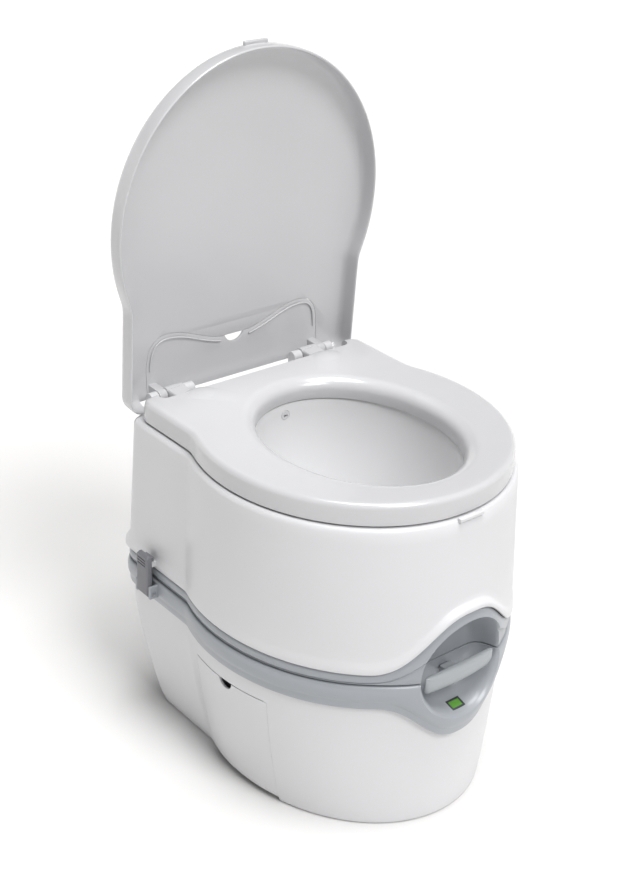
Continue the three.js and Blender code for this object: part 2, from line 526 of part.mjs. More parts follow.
// The wavy outline of the hinge panel, in plan, grown outwards by grow.
function panelPrism(grow, low, high) {
  const shape = new THREE.Shape();
  const half = 133 + grow;
  const end = 240;
  shape.moveTo(-half, end);
  shape.lineTo(half, end);
  shape.lineTo(half, 185);
  shape.bezierCurveTo(half, 150 - grow, 118, 139 - grow, 98, 141 - grow);
  shape.bezierCurveTo(70, 143 - grow, 50, 160 - grow, 18, 164 - grow);
  shape.lineTo(-18, 164 - grow);
  shape.bezierCurveTo(-50, 160 - grow, -70, 143 - grow, -98, 141 - grow);
  shape.bezierCurveTo(-118, 139 - grow, -half, 150 - grow, -half, 185);
  const geometry = new THREE.ExtrudeGeometry(shape, {
    depth: high - low,
    bevelEnabled: false,
    curveSegments: 6,
  });
  return placed(geometry, 0, 0, low);
}

const lid = () => cut(lidSolid(), panelPrism(0, 400, 460));

function lidHingePanel() {
  const plate = lidSolid().intersect(panelPrism(-0.5, 430, 460));
  const notch = rod('z', PANEL_NOTCH, 420, 460, [0, 160], 20);
  const ears = [1, -1].map((s) => {
    const [low, high] = span(s, 118.6, 130);
    return join(box(low, high, HINGE.y - 8, HINGE.y + 8, HINGE.z, 440),
      rod('x', 8, low, high, [HINGE.y, HINGE.z], 18));
  });
  const bores = rod('x', HINGE.pin + GAP, -160, 160, [HINGE.y, HINGE.z], 16);
  return cut(join(cut(plate, notch), ...ears), bores);
}

// Turns a piece of the closed lid to its open rest position.
function opened(solid) {
  return solid.translate([0, -HINGE.y, -HINGE.z])
    .rotate([-THREE.MathUtils.radToDeg(LID_OPEN), 0, 0])
    .translate([0, HINGE.y, HINGE.z]);
}

// ---- Latches, pump, filler, small pieces ----
function latch(side) {
  const y0 = LATCH.y - LATCH.width / 2;
  const y1 = LATCH.y + LATCH.width / 2;
  const body = join(box(186.2, 195, y0, y1, LATCH.pivotZ, LATCH.top - 3),
    rod('y', 6.5, y0, y1, [LATCH.x, LATCH.pivotZ], 16),
    box(187.5, 193.5, y0 + 1, y1 - 1, LATCH.top - 4, LATCH.top));
  const nose = box(181.6, 188, LATCH.y - 8, LATCH.y + 8, 240.6, 246);
  const bore = rod('y', 2.5 + GAP, y0 - 5, y1 + 5, [LATCH.x, LATCH.pivotZ], 14);
  const whole = cut(join(body, nose), bore);
  return side > 0 ? whole : whole.mirror([1, 0, 0]);
}

const latchPin = (side) => rod('y', 2.5, LATCH.y - 16, LATCH.y + 16, [side * LATCH.x, LATCH.pivotZ], 14);

function coilSpring(axis, radius, wire, from, to, centre, turns) {
  const points = Array.from({ length: turns * 8 + 1 }, (_, i) => {
    const t = (2 * Math.PI * i) / 8;
    const along = mix(from + wire, to - wire, i / (turns * 8));
    const p = new THREE.Vector3(centre[0] + radius * Math.cos(t), along, centre[1] + radius * Math.sin(t));
    return axis === 'y' ? p : new THREE.Vector3(p.y, p.x, p.z);
  });
  const section = new THREE.Shape(Array.from({ length: 4 }, (_, i) => new THREE.Vector2(
    wire * Math.cos((Math.PI * i) / 2), wire * Math.sin((Math.PI * i) / 2))));
  const path = new THREE.CatmullRomCurve3(points);
  return toSolid(new THREE.ExtrudeGeometry(section, {
    steps: turns * 8,
    bevelEnabled: false,
    extrudePath: path,
  }));
}

function pumpCylinder() {
  const outer = rod('x', PUMP.r + 3.2, 118, 165.6, [PUMP.y, PUMP.z], 24);
  const bore = rod('x', PUMP.r + GAP, 121, 190, [PUMP.y, PUMP.z], 24);
  const port = (z) => rod('x', 4, 110, 125, [PUMP.y, z], 12);
  const ports = join(port(PUMP.z - 10), port(PUMP.z + 10));
  return cut(outer, bore, ports);
}

function pumpButton() {
  const centre = [PUMP.y, PUMP.z];
  return cut(rod('x', PUMP.r - 0.2, 144, 182, centre, 24), rod('x', PUMP.r - 4, 140, 178, centre, 24));
}

function fillerCap() {
  const disc = rod('y', FILLER.bore + 6.5, 213.7, 219.5, [FILLER.x, FILLER.z], 24);
  const centre = [FILLER.x, FILLER.z];
  const plug = cut(rod('y', FILLER.bore - GAP, 202, 214, centre, 24),
    rod('y', FILLER.bore - 4, 200, 212, centre, 20));
  const grip = box(FILLER.x - 17, FILLER.x + 17, 218, 225, FILLER.z - 3, FILLER.z + 3);
  return join(disc, plug, grip);
}

// A bent tube along a smooth path.
function tube(points, r, bore) {
  const curve = new THREE.CatmullRomCurve3(points.map((p) => new THREE.Vector3(...p)));
  const sweep = (radius) => {
    const section = new THREE.Shape(Array.from({ length: 6 }, (_, i) => new THREE.Vector2(
      radius * Math.cos((2 * Math.PI * i) / 6), radius * Math.sin((2 * Math.PI * i) / 6))));
    return toSolid(new THREE.ExtrudeGeometry(section, {
      steps: 10,
      bevelEnabled: false,
      extrudePath: curve,
    }));
  };
  return cut(sweep(r), sweep(bore));
}

function ringSeal(axis, inner, outer, from, to, centre) {
  return cut(rod(axis, outer, from, to, centre), rod(axis, inner, from - 5, to + 5, centre));
}

function ventHousing() {
  const cup = cut(rod('y', 12.5, 183, 210.8, [VENT.x, VENT.z]), rod('y', 10, 185.5, 220, [VENT.x, VENT.z]));
  return cut(cup, rod('y', 2, 180, 190, [VENT.x, VENT.z], 10));
}

function ventButton() {
  return cut(rod('y', VENT.r, 196, 217.5, [VENT.x, VENT.z]), rod('y', 7, 190, 206, [VENT.x, VENT.z]));
}

function flushNozzle() {
  const body = join(rod('y', 6, 120.6, 134, [0, 396], 16), rod('y', 9, 126.4, 129, [0, 396], 16));
  return cut(body, rod('y', 3.5, 123, 140, [0, 396], 12), box(-3, 3, 119, 124, 394, 396.5));
}

// ---- Assembly ----
const toilet = new THREE.Group();
toilet.name = 'camp_toilet';

function add(name, solid, material) {
  const mesh = new THREE.Mesh(toGeometry(solid), material);
  mesh.name = name;
  toilet.add(mesh);
}

add('waste_tank', wasteTank(), WHITE);
add('trim_lower', trimLower(), GREY);
add('roll_box', rollBox(), WHITE);
add('roll_spindle', rod('y', 5, ROLL_BOX.front - 2.6, ROLL_BOX.rear + 2.6, [SPINDLE.x, SPINDLE.z], 16), GREY);
add('roll_door', rollDoor(), WHITE);
add('roll_door_pin', rod('y', 2.5, DOOR.front - 4, DOOR.rear + 4, [DOOR.pinX, DOOR.pinZ], 12), STEEL);
add('valve_housing', valveHousing(), GREY);
add('valve_blade', valveBlade(), GREY);
add('valve_rod', rodShape(0, -200), STEEL);
add('valve_handle', valveHandle(), HANDLE_GREY);
const outletRing = (inner, outer, from, to) => ringSeal('z', OUTLET.r + inner, OUTLET.r + outer, from, to,
  [0, OUTLET.y]);
add('lip_seal', outletRing(0.8, 9.6, JOINT_Z - 4.8, JOINT_Z + 0.9), BLACK);
add('level_window', levelWindow(), CLEAR);
add('level_drum', levelDrum(), GREEN);
add('level_float', floatBlock(), FOAM);
add('spout', spout(), GREY);
add('spout_seal', ringSeal('z', 13.3, 15.8, 110.35, 113, [SPOUT.x, SPOUT.y]), BLACK);
add('spout_cap', spoutCap(), GREY);
add('vent_housing', ventHousing(), GREY);
add('vent_spring', coilSpring('y', 5.6, 0.6, 186, 205.6, [VENT.x, VENT.z], 4), STEEL);
add('vent_button', ventButton(), GREY);
for (const [side, word] of [[-1, 'left'], [1, 'right']]) {
  add(`latch_${word}`, latch(side), LATCH_GREY);
  add(`latch_pin_${word}`, latchPin(side), STEEL);
}

add('flush_tank', flushTank(), WHITE);
add('trim_upper', trimUpper(), GREY);
add('bowl', bowl(), BOWL_WHITE);
add('outlet_gasket', outletRing(5, 15, JOINT_Z + 4.8, JOINT_Z + 5.9), BLACK);
add('flush_nozzle', flushNozzle(), WHITE);
const HOSE = { r: 4.5, bore: 2.6 };
const RINSE_PATH = [
  [106, 146, 362], [96, 146, 366], [60, 154, 384], [20, 158, 394], [2, 148, 396], [0, 135, 396]];
const PICKUP_PATH = [[106, 146, 342], [100, 150, 335], [94, 160, 300], [92, 168, 260], [92, 170, 224]];
add('rinse_tube', tube(RINSE_PATH, HOSE.r, HOSE.bore), CLEAR);
add('pickup_tube', tube(PICKUP_PATH, HOSE.r, HOSE.bore), CLEAR);
add('pump_cylinder', pumpCylinder(), GREY);
add('pump_spring', coilSpring('x', 13, 1, 121.4, 177.6, [PUMP.y, PUMP.z], 6), STEEL);
add('pump_button', pumpButton(), GREY);
add('filler_cap', fillerCap(), GREY);
add('filler_seal', ringSeal('y', FILLER.bore + 0.4, FILLER.bore + 4, 212.35, 213.35,
  [FILLER.x, FILLER.z]), BLACK);

add('seat', seat(), WHITE);
const BUMPERS = [[-100, -140], [100, -140], [-150, 60], [150, 60]];
BUMPERS.forEach(([x, y], i) => {
  add(`seat_bumper_${i + 1}`, rod('z', 6, LEDGE_Z + 0.4, 432.1, [x, y], 14), WHITE);
});
for (const [side, word] of [[-1, 'left'], [1, 'right']]) {
  add(`hinge_block_${word}`, hingeBlock(side), WHITE);
  add(`hinge_pin_${word}`, hingePin(side), STEEL);
}
add('lid', opened(lid()), WHITE);
add('lid_hinge_panel', opened(lidHingePanel()), WHITE);

export default toilet;
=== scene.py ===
# Looks for the portable camp toilet. Shapes are made in millimetres in the CAD model's frame, then scaled
# to metres.
import json
import math

import bmesh
import bpy
import numpy as np
from mathutils import Matrix, Vector


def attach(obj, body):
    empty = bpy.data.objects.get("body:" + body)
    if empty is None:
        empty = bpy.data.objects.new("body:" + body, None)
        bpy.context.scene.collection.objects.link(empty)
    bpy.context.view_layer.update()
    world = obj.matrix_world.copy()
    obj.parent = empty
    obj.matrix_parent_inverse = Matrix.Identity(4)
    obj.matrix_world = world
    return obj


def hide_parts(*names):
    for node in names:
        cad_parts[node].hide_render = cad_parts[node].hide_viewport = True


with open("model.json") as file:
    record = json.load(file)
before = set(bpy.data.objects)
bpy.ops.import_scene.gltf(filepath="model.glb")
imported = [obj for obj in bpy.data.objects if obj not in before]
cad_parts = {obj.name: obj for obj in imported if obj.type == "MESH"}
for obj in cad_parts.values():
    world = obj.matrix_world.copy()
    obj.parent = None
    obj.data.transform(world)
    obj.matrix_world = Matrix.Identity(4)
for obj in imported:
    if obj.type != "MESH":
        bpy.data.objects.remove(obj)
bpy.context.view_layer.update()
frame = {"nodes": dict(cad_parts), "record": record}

# ---- Dimensions, the same as the CAD model's (mm) ----
GAP = 0.35
WALL = 3.0
JOINT_Z = 213.5
BAND_LOW, BAND_HIGH = 180.0, 229.0
LEDGE_Z, SEAT_TOP = 408.9, 437.2
LID_EDGE, LID_TOP = 412.9, 446.5
HINGE_Y, HINGE_Z, HINGE_PIN = 209.4, 421.2, 4.0
LID_OPEN = 87.34
HINGE_X = 105.0
TROUGH_Y, TROUGH_Z = 196.0, 399.0
OUTLET_Y, OUTLET_R = 20.0, 44.0
BLADE_Z = 199.3
RISE, RISE_REACH, DROP, DROP_REACH = 64.0, 120.0, 56.0, 110.0
SWELL, SWELL_FLAT, SWELL_REACH = 5.0, 50.0, 115.0
STEP = 4.2
DISH_Z, DISH_A, DISH_C, DISH_WALL = 218.0, 64.0, 66.0, 2.6
DISH_FRONT, DISH_CURVE, DISH_BACK = -226.0, 13.0, -184.0
POCKET_CLEAR, POCKET_BACK = 4.5, -172.0
BAR_HALF, BAR_LOW, BAR_HIGH, BAR_FRONT, BAR_THICK = 53.0, 192.5, 217.0, -217.5, 12.0
WINDOW_Y, WINDOW_Z, WINDOW_W, WINDOW_L, WINDOW_TILT = -209.5, 159.0, 8.75, 5.85, 16.0
DRUM_Y, DRUM_Z = -208.0, 150.6
DOOR_Y0, DOOR_Y1, DOOR_Z0, DOOR_Z1 = -79.0, 47.0, 8.0, 158.0
PIN_X, PIN_Z, NOTCH_R = -148.0, 22.0, 11.0
ROLL_INNER, ROLL_Y0, ROLL_Y1, ROLL_Z0, ROLL_Z1 = -62.0, -72.0, 40.0, 16.0, 156.0
LATCH_X, LATCH_Y, LATCH_W, LATCH_PIVOT, LATCH_TOP = 188.0, 149.0, 23.0, 198.0, 251.0
SPOUT_X, SPOUT_Y, SPOUT_Z, SPOUT_R, SPOUT_BORE, SPOUT_LEN = 112.0, 190.0, 148.0, 16.0, 13.0, 118.0
VENT_X, VENT_Z, VENT_R = -105.0, 148.0, 9.0
PUMP_Y, PUMP_Z, PUMP_R = 146.0, 352.0, 24.0
FILLER_X, FILLER_Z, FILLER_BORE = -92.0, 345.0, 22.0
HOLE_Y, HOLE_A, HOLE_C = -15.0, 110.0, 136.0
BOWL_Y = -14.0
PIN_R = 2.5  # the door's and the latches' pins
NOZZLE_Z, NOZZLE_R = 396.0, 6.0
PANEL_NOTCH, PANEL_NOTCH_Y = 15.0, 160.0
HINGE_ROOM = 146.0  # half the width that the seat and lid leave open for the hinges
WINDOW_PROUD = 0.3
DROP_FOOT = 60.0  # below this height the waste tank has none of the bow round the dish
RISE_TOP, RISE_FADE = 360.0, 125.0  # the flush tank's bow dies out at the first, over the second

BAND = dict(a=190.5, b=216, w=177.5, rear=222)
LIP = dict(a=193.95, b=222.4, w=180.5, rear=230.9)
SOFT = (26.0, 60)
LID = dict(a=190.4, b=204.3, w=173, rear=223.6, r=20, blend=SOFT)
SEAT = dict(a=184.9, b=199, w=168, rear=190, r=14, blend=SOFT)

RING = 300  # points round a keyhole outline


def mix(a, b, t):
    return a + (b - a) * t


def ease(t):
    return t * t * (3 - 2 * t)


def mixed(plan_a, plan_b, t):
    return {k: mix(plan_a[k], plan_b[k], t) for k in plan_a}


# ---- Outlines ----
def keyhole(a, b, w, rear, r=35.0, y0=-0.9, inset=0.0, count=RING, blend=(10.0, 8)):
    """The keyhole plan: a round front and a narrower rear stub, as points from the front centre."""
    big_a, big_b, big_c, big_w = a - inset, b - inset, 1.086 * a - inset, w - inset
    corner, end = max(r - inset, 2.0), rear - inset
    start = math.pi - math.asin(min(big_w / big_a, 0.999))
    t = np.linspace(0, start, 120)
    reach = np.where(np.cos(t) > 0, big_b, big_c)
    arc = np.stack([big_a * np.sin(t), y0 - reach * np.cos(t)], 1)
    side_y = np.linspace(arc[-1, 1], end - corner, 60)[1:]
    side = np.concatenate([arc, np.stack([np.full(len(side_y), big_w), side_y], 1)])
    # the kink where the round front meets the stub is blended; blend is (how far, how many passes)
    steps = np.r_[0, np.cumsum(np.linalg.norm(np.diff(side, axis=0), axis=1))]
    kink = steps[len(arc) - 1]
    even = np.linspace(0, steps[-1], 400)
    line = np.stack([np.interp(even, steps, side[:, i]) for i in (0, 1)], 1)
    soft = line.copy()
    for _ in range(blend[1]):
        soft[1:-1] = 0.25 * soft[:-2] + 0.5 * soft[1:-1] + 0.25 * soft[2:]
    near = np.exp(-((even - kink) / blend[0]) ** 2)[:, None]
    line = line * (1 - near) + soft * near
    u = np.linspace(0, math.pi / 2, 16)
    turn = np.stack([big_w - corner + corner * np.cos(u), end - corner + corner * np.sin(u)], 1)
    half = np.concatenate([line, turn[1:], [[0.0, end]]])
    whole = np.concatenate([half, half[-2::-1] * [-1, 1]])
    steps = np.r_[0, np.cumsum(np.linalg.norm(np.diff(whole, axis=0), axis=1))]
    even = np.linspace(0, steps[-1], count + 1)[:-1]
    return np.stack([np.interp(even, steps, whole[:, i]) for i in (0, 1)], 1)


def level(points, z):
    return np.column_stack([points, np.full(len(points), float(z))])


def at(plan, z, inset=0.0):
    return level(keyhole(**plan, inset=inset), z)


def oval(a, b, y, z, count=96):
    t = np.linspace(0, 2 * math.pi, count, endpoint=False)
    return np.column_stack([a * np.sin(t), y - b * np.cos(t), np.full(count, float(z))])


def waste_plan(z):
    f = 1 - (1 - min(z / BAND_LOW, 1)) ** 1.45
    return dict(a=mix(161.3, 190.5, f), b=mix(201.1, 211, f), y0=mix(-7.9, -0.9, f),
                w=mix(148.8, 177.5, f), rear=mix(194, 218, f))


def flush_plan(z):
    f = (LEDGE_Z - z) / (LEDGE_Z - BAND_HIGH)
    return dict(a=mix(190, 193, f), b=mix(204.2, 221, f), w=mix(173.45, 178, f), rear=mix(218, 225, f))


# The band's edges bow away from each other round the dish, and the band swells out there.
def fade(x, start, end):
    return 1 - ease(np.clip((np.abs(x) - start) / (end - start), 0, 1))


def bow(x, reach):
    t = np.clip(np.abs(x) / reach, 0, 1)
    return 1 - t**3 * (t * (6 * t - 15) + 10)


def rise(share):
    return lambda x: share * RISE * bow(x, RISE_REACH)


def drop(share):
    return lambda x: -share * DROP * bow(x, DROP_REACH)


def bowed(plan_at, z, shift, inset=0.0, swollen=0.0, layers=9):
    """A plan ring whose front is moved up or down by shift(x), each point at its own height's plan."""
    base = keyhole(**plan_at(z), inset=inset)
    lift = np.where(base[:, 1] < 0, shift(base[:, 0]), 0.0)
    low, high = lift.min(), lift.max()
    points = base
    if high - low > 0.01:
        stack = np.stack([keyhole(**plan_at(z + h), inset=inset) for h in np.linspace(low, high, layers)])
        place = (lift - low) / (high - low) * (layers - 1)
        k = np.clip(place.astype(int), 0, layers - 2)
        part = (place - k)[:, None]
        i = np.arange(len(base))
        points = stack[k, i] * (1 - part) + stack[k + 1, i] * part
    out = np.where(points[:, 1] < 0, swollen * SWELL * fade(points[:, 0], SWELL_FLAT, SWELL_REACH), 0.0)
    lean = np.clip(points[:, 0] / 200, -0.9, 0.9)
    points = points + np.stack([out * lean, -out * np.sqrt(1 - lean**2)], 1)
    return np.column_stack([points, z + lift])


def waste_drop(z):
    return drop(min(max((z - DROP_FOOT) / (BAND_LOW - DROP_FOOT), 0), 1))


def flush_rise(z):
    return rise(min(max((RISE_TOP - z) / RISE_FADE, 0), 1))


# ---- Mesh making ----
def placed(name, data):
    piece = bpy.data.objects.new(name, data)
    bpy.context.scene.collection.objects.link(piece)
    return piece


def written(bm, mesh):
    bm.to_mesh(mesh)
    bm.free()
    return mesh


def make(name, verts, faces):
    mesh = bpy.data.meshes.new(name)
    mesh.from_pydata([tuple(map(float, v)) for v in verts], [], faces)
    bm = bmesh.new()
    bm.from_mesh(mesh)
    bmesh.ops.recalc_face_normals(bm, faces=bm.faces)
    return placed(name, written(bm, mesh))


def loft(rings, closed=False, name="part"):
    """A closed body through rings of equal length, capped flat, or joined end to end when closed."""
    n, m = len(rings[0]), len(rings)
    verts = np.concatenate(rings)
    faces = []
    for k in range(m if closed else m - 1):
        k2 = (k + 1) % m
        for i in range(n):
            j = (i + 1) % n
            faces.append((k * n + i, k * n + j, k2 * n + j, k2 * n + i))
    if not closed:
        faces.append(tuple(range(n - 1, -1, -1)))
        faces.append(tuple(range((m - 1) * n, m * n)))
    return make(name, verts, faces)


def box(x0, x1, y0, y1, z0, z1, round_by=0.0, segments=3):
    bm = bmesh.new()
    bmesh.ops.create_cube(bm, size=1)
    size = Vector((abs(x1 - x0), abs(y1 - y0), abs(z1 - z0)))
    middle = Vector(((x0 + x1) / 2, (y0 + y1) / 2, (z0 + z1) / 2))
    for v in bm.verts:
        v.co = Vector(c * s for c, s in zip(v.co, size)) + middle
    if round_by:
        bmesh.ops.bevel(bm, geom=bm.edges[:], offset=round_by, segments=segments, profile=0.5, affect="EDGES")
    return placed("box", written(bm, bpy.data.meshes.new("box")))


def turned(axis, profile, centre, count=64, name="part"):
    """A turned body: profile is (distance along the axis, radius) pairs, closed by flat ends."""
    t = np.linspace(0, 2 * math.pi, count, endpoint=False)
    rings = []
    for along, radius in profile:
        c, s = radius * np.cos(t), radius * np.sin(t)
        flat = np.full(count, float(along))
        if axis == "x":
            rings.append(np.column_stack([flat, centre[0] + c, centre[1] + s]))
        elif axis == "y":
            rings.append(np.column_stack([centre[0] + c, flat, centre[1] + s]))
        else:
            rings.append(np.column_stack([centre[0] + c, centre[1] + s, flat]))
    return loft(rings, name=name)


def rod(axis, r, a, b, centre, count=48, round_by=0.0):
    if not round_by:
        return turned(axis, [(a, r), (b, r)], centre, count)
    d = math.copysign(round_by, b - a)
    start = [(a + d * (1 - math.sin(u)), r - round_by * (1 - math.cos(u)))
             for u in np.linspace(math.pi / 2, 0, 5)]
    end = [(b - d * (1 - math.sin(u)), r - round_by * (1 - math.cos(u)))
           for u in np.linspace(0, math.pi / 2, 5)]
    return turned(axis, start + end, centre, count)


def settle(piece):
    """Turns the piece's modifiers into its mesh."""
    bpy.context.view_layer.update()
    graph = bpy.context.evaluated_depsgraph_get()
    mesh = bpy.data.meshes.new_from_object(piece.evaluated_get(graph))
    piece.modifiers.clear()
    old = piece.data
    piece.data = mesh
    bpy.data.meshes.remove(old)
    return piece


def combine(base, how, others):
    for other in others:
        step = base.modifiers.new("step", "BOOLEAN")
        step.operation = how
        step.solver = "MANIFOLD"
        step.object = other
    settle(base)
    for other in others:
        mesh = other.data
        bpy.data.objects.remove(other)
        bpy.data.meshes.remove(mesh)
    return base


def cut(base, *others):
    return combine(base, "DIFFERENCE", others)


def join(base, *others):
    return combine(base, "UNION", others)


def common(base, *others):
    return combine(base, "INTERSECT", others)


def copy(piece):
    twin = piece.copy()
    twin.data = piece.data.copy()
    bpy.context.scene.collection.objects.link(twin)
    return twin


def moved(piece, x=0.0, y=0.0, z=0.0):
    piece.data.transform(Matrix.Translation((x, y, z)))
    return piece


def mirrored(piece):
    twin = copy(piece)
    twin.data.transform(Matrix.Scale(-1, 4, (1, 0, 0)))
    twin.data.flip_normals()
    return twin


def both(piece):
    return join(piece, mirrored(piece))


def soften(piece, width=0.8, segments=2, angle=32.0, weld=0.25):
    """Cleans slivers, then rounds every edge sharper than angle."""
    bm = bmesh.new()
    bm.from_mesh(piece.data)
    bmesh.ops.remove_doubles(bm, verts=bm.verts, dist=weld)
    bmesh.ops.dissolve_degenerate(bm, edges=bm.edges, dist=0.02)
    written(bm, piece.data)
    edge = piece.modifiers.new("edge", "BEVEL")
    edge.width = width
    edge.segments = segments
    edge.limit_method = "ANGLE"
    edge.angle_limit = math.radians(angle)
    edge.use_clamp_overlap = True
    edge.harden_normals = False
    edge.miter_outer = "MITER_ARC"
    return settle(piece)


def done(piece, name, body, material, slot, *nodes, crease=38.0):
    """Scales a finished shape to metres, shades it smooth with creases, and hands it to its body."""
    piece.name = name
    piece.data.name = name
    piece.data.transform(Matrix.Scale(0.001, 4))
    bm = bmesh.new()
    bm.from_mesh(piece.data)
    limit = math.radians(crease)
    for face in bm.faces:
        face.smooth = True
    for edge in bm.edges:
        edge.smooth = len(edge.link_faces) == 2 and edge.calc_face_angle(0) < limit
    written(bm, piece.data)
    piece.data.materials.clear()
    piece.data.materials.append(material)
    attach(piece, body)
    if nodes:
        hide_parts(*nodes)


# ---- Materials ----
def nodes_of(name):
    material = bpy.data.materials.new(name)
    material.use_nodes = True
    tree = material.node_tree
    tree.nodes.clear()
    out = tree.nodes.new("ShaderNodeOutputMaterial")
    shader = tree.nodes.new("ShaderNodeBsdfPrincipled")
    tree.links.new(shader.outputs[0], out.inputs[0])
    return material, tree, shader


def linear(rgb):
    return [c / 12.92 if c <= 0.04045 else ((c + 0.055) / 1.055) ** 2.4
            for c in (v / 255 for v in rgb)] + [1.0]


def noise_node(tree, coords, scale, detail=3.0, rough=0.5):
    node = tree.nodes.new("ShaderNodeTexNoise")
    node.inputs["Scale"].default_value = scale
    node.inputs["Detail"].default_value = detail
    node.inputs["Roughness"].default_value = rough
    tree.links.new(coords, node.inputs["Vector"])
    return node.outputs["Fac"]


def spread(tree, value, low, high, source=(0.3, 0.7)):
    node = tree.nodes.new("ShaderNodeMapRange")
    node.inputs["From Min"].default_value, node.inputs["From Max"].default_value = source
    node.inputs["To Min"].default_value, node.inputs["To Max"].default_value = low, high
    tree.links.new(value, node.inputs["Value"])
    return node.outputs["Result"]


def scaled(tree, value, factor):
    node = tree.nodes.new("ShaderNodeMath")
    node.operation = "MULTIPLY"
    node.inputs[1].default_value = factor
    tree.links.new(value, node.inputs[0])
    return node.outputs[0]


def blend_colour(tree, factor, a, b):
    node = tree.nodes.new("ShaderNodeMix")
    node.data_type = "RGBA"
    for socket, value in ((node.inputs["A"], a), (node.inputs["B"], b)):
        if isinstance(value, list):
            socket.default_value = value
        else:
            tree.links.new(value, socket)
    tree.links.new(factor, node.inputs["Factor"])
    return node.outputs["Result"]


def bumped(tree, height, distance, under=None):
    """A bump node over the one under it, if any; the height is in metres."""
    bump = tree.nodes.new("ShaderNodeBump")
    bump.inputs["Distance"].default_value = distance
    tree.links.new(height, bump.inputs["Height"])
    if under:
        tree.links.new(under.outputs[0], bump.inputs["Normal"])
    return bump


def plastic(name, rgb, rough, grain=0.00002, grain_scale=1500.0, vary=0.02, coat=0.0, scuff=0.03, wave=0.1):
    """Moulded plastic: slow colour drift, uneven gloss, a fine grain, faint sink marks and light scuffs."""
    material, tree, shader = nodes_of(name)
    coords = tree.nodes.new("ShaderNodeTexCoord").outputs["Object"]
    base = linear(rgb)

    def shade(k):
        return [min(c * k, 1.0) for c in base[:3]] + [1.0]

    colour = blend_colour(tree, spread(tree, noise_node(tree, coords, 5.0, 1.0), 0, 1), shade(1 - vary),
                          shade(1 + vary))
    stretch = tree.nodes.new("ShaderNodeMapping")
    stretch.inputs["Scale"].default_value = (40, 40, 7)
    stretch.inputs["Rotation"].default_value = (0.4, 0.9, 0.2)
    tree.links.new(coords, stretch.inputs["Vector"])
    marks = spread(tree, noise_node(tree, stretch.outputs[0], 7.0, 4.0, 0.6), 0, 1, (0.66, 0.78))
    colour = blend_colour(tree, scaled(tree, marks, scuff), colour, shade(0.7))
    tree.links.new(colour, shader.inputs["Base Color"])
    gloss = spread(tree, noise_node(tree, coords, 30.0, 3.0, 0.6), rough - 0.03, rough + 0.05)
    add = tree.nodes.new("ShaderNodeMath")
    add.operation = "ADD"
    tree.links.new(gloss, add.inputs[0])
    tree.links.new(scaled(tree, marks, scuff * 2), add.inputs[1])
    tree.links.new(add.outputs[0], shader.inputs["Roughness"])
    fine = bumped(tree, noise_node(tree, coords, grain_scale, 1.0), grain)
    fine.inputs["Strength"].default_value = 0.6
    slow = bumped(tree, noise_node(tree, coords, 22.0, 1.0), 0.0006, fine)
    slow.inputs["Strength"].default_value = wave
    tree.links.new(slow.outputs[0], shader.inputs["Normal"])
    shader.inputs["IOR"].default_value = 1.5
    shader.inputs["Coat Weight"].default_value = coat
    shader.inputs["Coat Roughness"].default_value = 0.12
    return material


def metal(name, rgb, rough):
    """Drawn steel: fine streaks along the part, with slightly dull patches."""
    material, tree, shader = nodes_of(name)
    coords = tree.nodes.new("ShaderNodeTexCoord").outputs["Object"]
    stretch = tree.nodes.new("ShaderNodeMapping")
    stretch.inputs["Scale"].default_value = (1, 14, 14)
    tree.links.new(coords, stretch.inputs["Vector"])
    streak = noise_node(tree, stretch.outputs[0], 220.0, 3.0)
    base = linear(rgb)
    colour = blend_colour(tree, spread(tree, streak, 0, 1), [c * 0.85 for c in base[:3]] + [1.0], base)
    tree.links.new(colour, shader.inputs["Base Color"])
    tree.links.new(spread(tree, streak, rough - 0.06, rough + 0.1), shader.inputs["Roughness"])
    shader.inputs["Metallic"].default_value = 1.0
    bump = bumped(tree, streak, 0.00003)
    tree.links.new(bump.outputs[0], shader.inputs["Normal"])
    return material


def clear(name, rgb, rough, weight):
    """Clear moulded plastic with a slight haze."""
    material, tree, shader = nodes_of(name)
    coords = tree.nodes.new("ShaderNodeTexCoord").outputs["Object"]
    base = linear(rgb)
    colour = blend_colour(tree, spread(tree, noise_node(tree, coords, 60.0), 0, 1),
                          [c * 0.94 for c in base[:3]] + [1.0], base)
    tree.links.new(colour, shader.inputs["Base Color"])
    tree.links.new(spread(tree, noise_node(tree, coords, 300.0), rough, rough + 0.06),
                   shader.inputs["Roughness"])
    shader.inputs["Transmission Weight"].default_value = weight
    shader.inputs["IOR"].default_value = 1.46
    bump = bumped(tree, noise_node(tree, coords, 500.0), 0.00002)
    tree.links.new(bump.outputs[0], shader.inputs["Normal"])
    return material


def foam_material(name, rgb):
    """Closed-cell foam: small pits from a cell pattern."""
    material, tree, shader = nodes_of(name)
    coords = tree.nodes.new("ShaderNodeTexCoord").outputs["Object"]
    cells = tree.nodes.new("ShaderNodeTexVoronoi")
    cells.inputs["Scale"].default_value = 900.0
    tree.links.new(coords, cells.inputs["Vector"])
    base = linear(rgb)
    colour = blend_colour(tree, spread(tree, cells.outputs["Distance"], 0, 1, (0.1, 0.7)), base,
                          [c * 0.75 for c in base[:3]] + [1.0])
    tree.links.new(colour, shader.inputs["Base Color"])
    shader.inputs["Roughness"].default_value = 0.9
    bump = bumped(tree, cells.outputs["Distance"], 0.0003)
    tree.links.new(bump.outputs[0], shader.inputs["Normal"])
    return material


